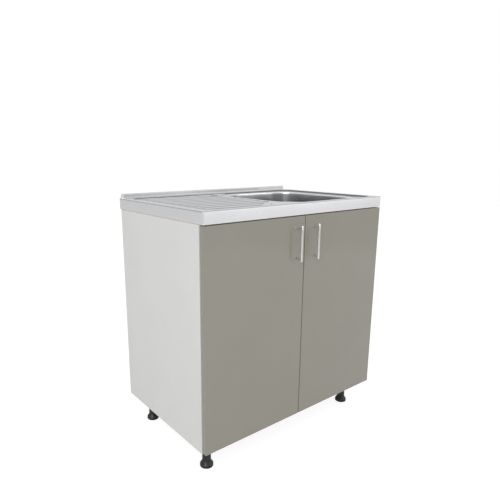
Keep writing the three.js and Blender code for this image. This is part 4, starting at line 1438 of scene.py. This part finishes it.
# The camera as it was fitted: picture sizes in pixels, its place in metres, turns in radians.
PHOTO_SIZE = 500
FOCAL_LENGTH = 460.62
PHOTO_CENTRE = (227.51, 264.26)
SENSOR = 36
CAMERA_PLACE = (-1.0965, -1.24645, 0.9818)
CAMERA_DIP = 0.2282
CAMERA_TURN = -0.66

LAMP_TARGET = (0, 0, 0.5)
WHITE_LIGHT = (1, 1, 1, 1)


def seen_directly(graph):
    """One for rays from the camera or through clear plastic, and one for mirrored rays."""
    path = graph.node("ShaderNodeLightPath").maker
    camera, mirrored, through = (
        Wire(graph, path.outputs[name])
        for name in ("Is Camera Ray", "Is Glossy Ray", "Is Transmission Ray")
    )
    return camera.most(through), mirrored


def make_floor():
    """A pale floor that looks white to the camera and keeps the unit's shadow."""
    form = Form()
    near, far = -FLOOR_HALF, FLOOR_HALF
    outline = [(near, near, 0), (far, near, 0), (far, far, 0), (near, far, 0)]
    form.faces.append(form.loop(outline))
    made = piece("studio_floor", form)
    material = bpy.data.materials.new("pale floor")
    graph = Graph(emptied(material))
    direct, mirrored = seen_directly(graph)
    plain = graph.node("ShaderNodeBsdfDiffuse", {"Color": (0.86, 0.86, 0.86, 1)})
    lit = graph.node("ShaderNodeEmission", {"Color": WHITE_LIGHT, "Strength": 1.28})
    share = direct * 0.66 + mirrored * 0.1
    shader = graph.mixed(share, plain, lit)
    graph.node("ShaderNodeOutputMaterial", {"Surface": shader})
    made.data.materials.append(material)


def make_world():
    """A white studio whose ceiling is darker than its walls, as mirrored surfaces show it."""
    world = bpy.data.worlds.new("studio")
    bpy.context.scene.world = world
    graph = Graph(emptied(world))
    way = graph.node("ShaderNodeTexCoord", output="Generated")
    height = graph.node("ShaderNodeSeparateXYZ", {0: way}, "Z")
    studio = graph.ramp(
        height,
        (0.0, (0.6, 0.6, 0.61, 1)),
        (0.3, (0.72, 0.72, 0.73, 1)),
        (0.48, (0.9, 0.9, 0.9, 1)),
        (0.62, (0.62, 0.62, 0.63, 1)),
        (0.82, (0.7, 0.7, 0.71, 1)),
        (0.93, WHITE_LIGHT),
    )
    direct, mirrored = seen_directly(graph)

    def backdrop(colour, strength=1.0):
        return graph.node("ShaderNodeBackground", {"Color": colour, "Strength": strength})

    around = graph.mixed(mirrored, backdrop((0.99, 0.99, 1.0, 1), 0.68), backdrop(studio))
    shader = graph.mixed(direct, around, backdrop(WHITE_LIGHT))
    graph.node("ShaderNodeOutputWorld", {"Surface": shader})


def make_lamp(name, place, size, power):
    data = bpy.data.lights.new(name, "AREA")
    data.size = size
    data.energy = power
    lamp = new_object(name, data)
    lamp.location = place
    way = Vector(LAMP_TARGET) - Vector(place)
    lamp.rotation_euler = way.to_track_quat("-Z", "Y").to_euler()


def make_camera():
    """The camera that the photograph's cabinet was seen with."""
    data = bpy.data.cameras.new("camera")
    data.sensor_width = SENSOR
    data.lens = SENSOR * FOCAL_LENGTH / PHOTO_SIZE
    data.shift_x = (PHOTO_SIZE / 2 - PHOTO_CENTRE[0]) / PHOTO_SIZE
    data.shift_y = (PHOTO_CENTRE[1] - PHOTO_SIZE / 2) / PHOTO_SIZE
    data.clip_start, data.clip_end = 0.05, 60
    made = new_object("camera", data)
    made.location = CAMERA_PLACE
    made.rotation_euler = (pi / 2 - CAMERA_DIP, 0, CAMERA_TURN)
    bpy.context.scene.camera = made


make_floor()
make_world()
make_lamp("key", (-2.6, -1.6, 2.6), 2.2, 55)
make_lamp("fill", (2.2, -2.6, 1.8), 2.4, 18)
make_camera()
bpy.context.scene.view_settings.view_transform = "Standard"
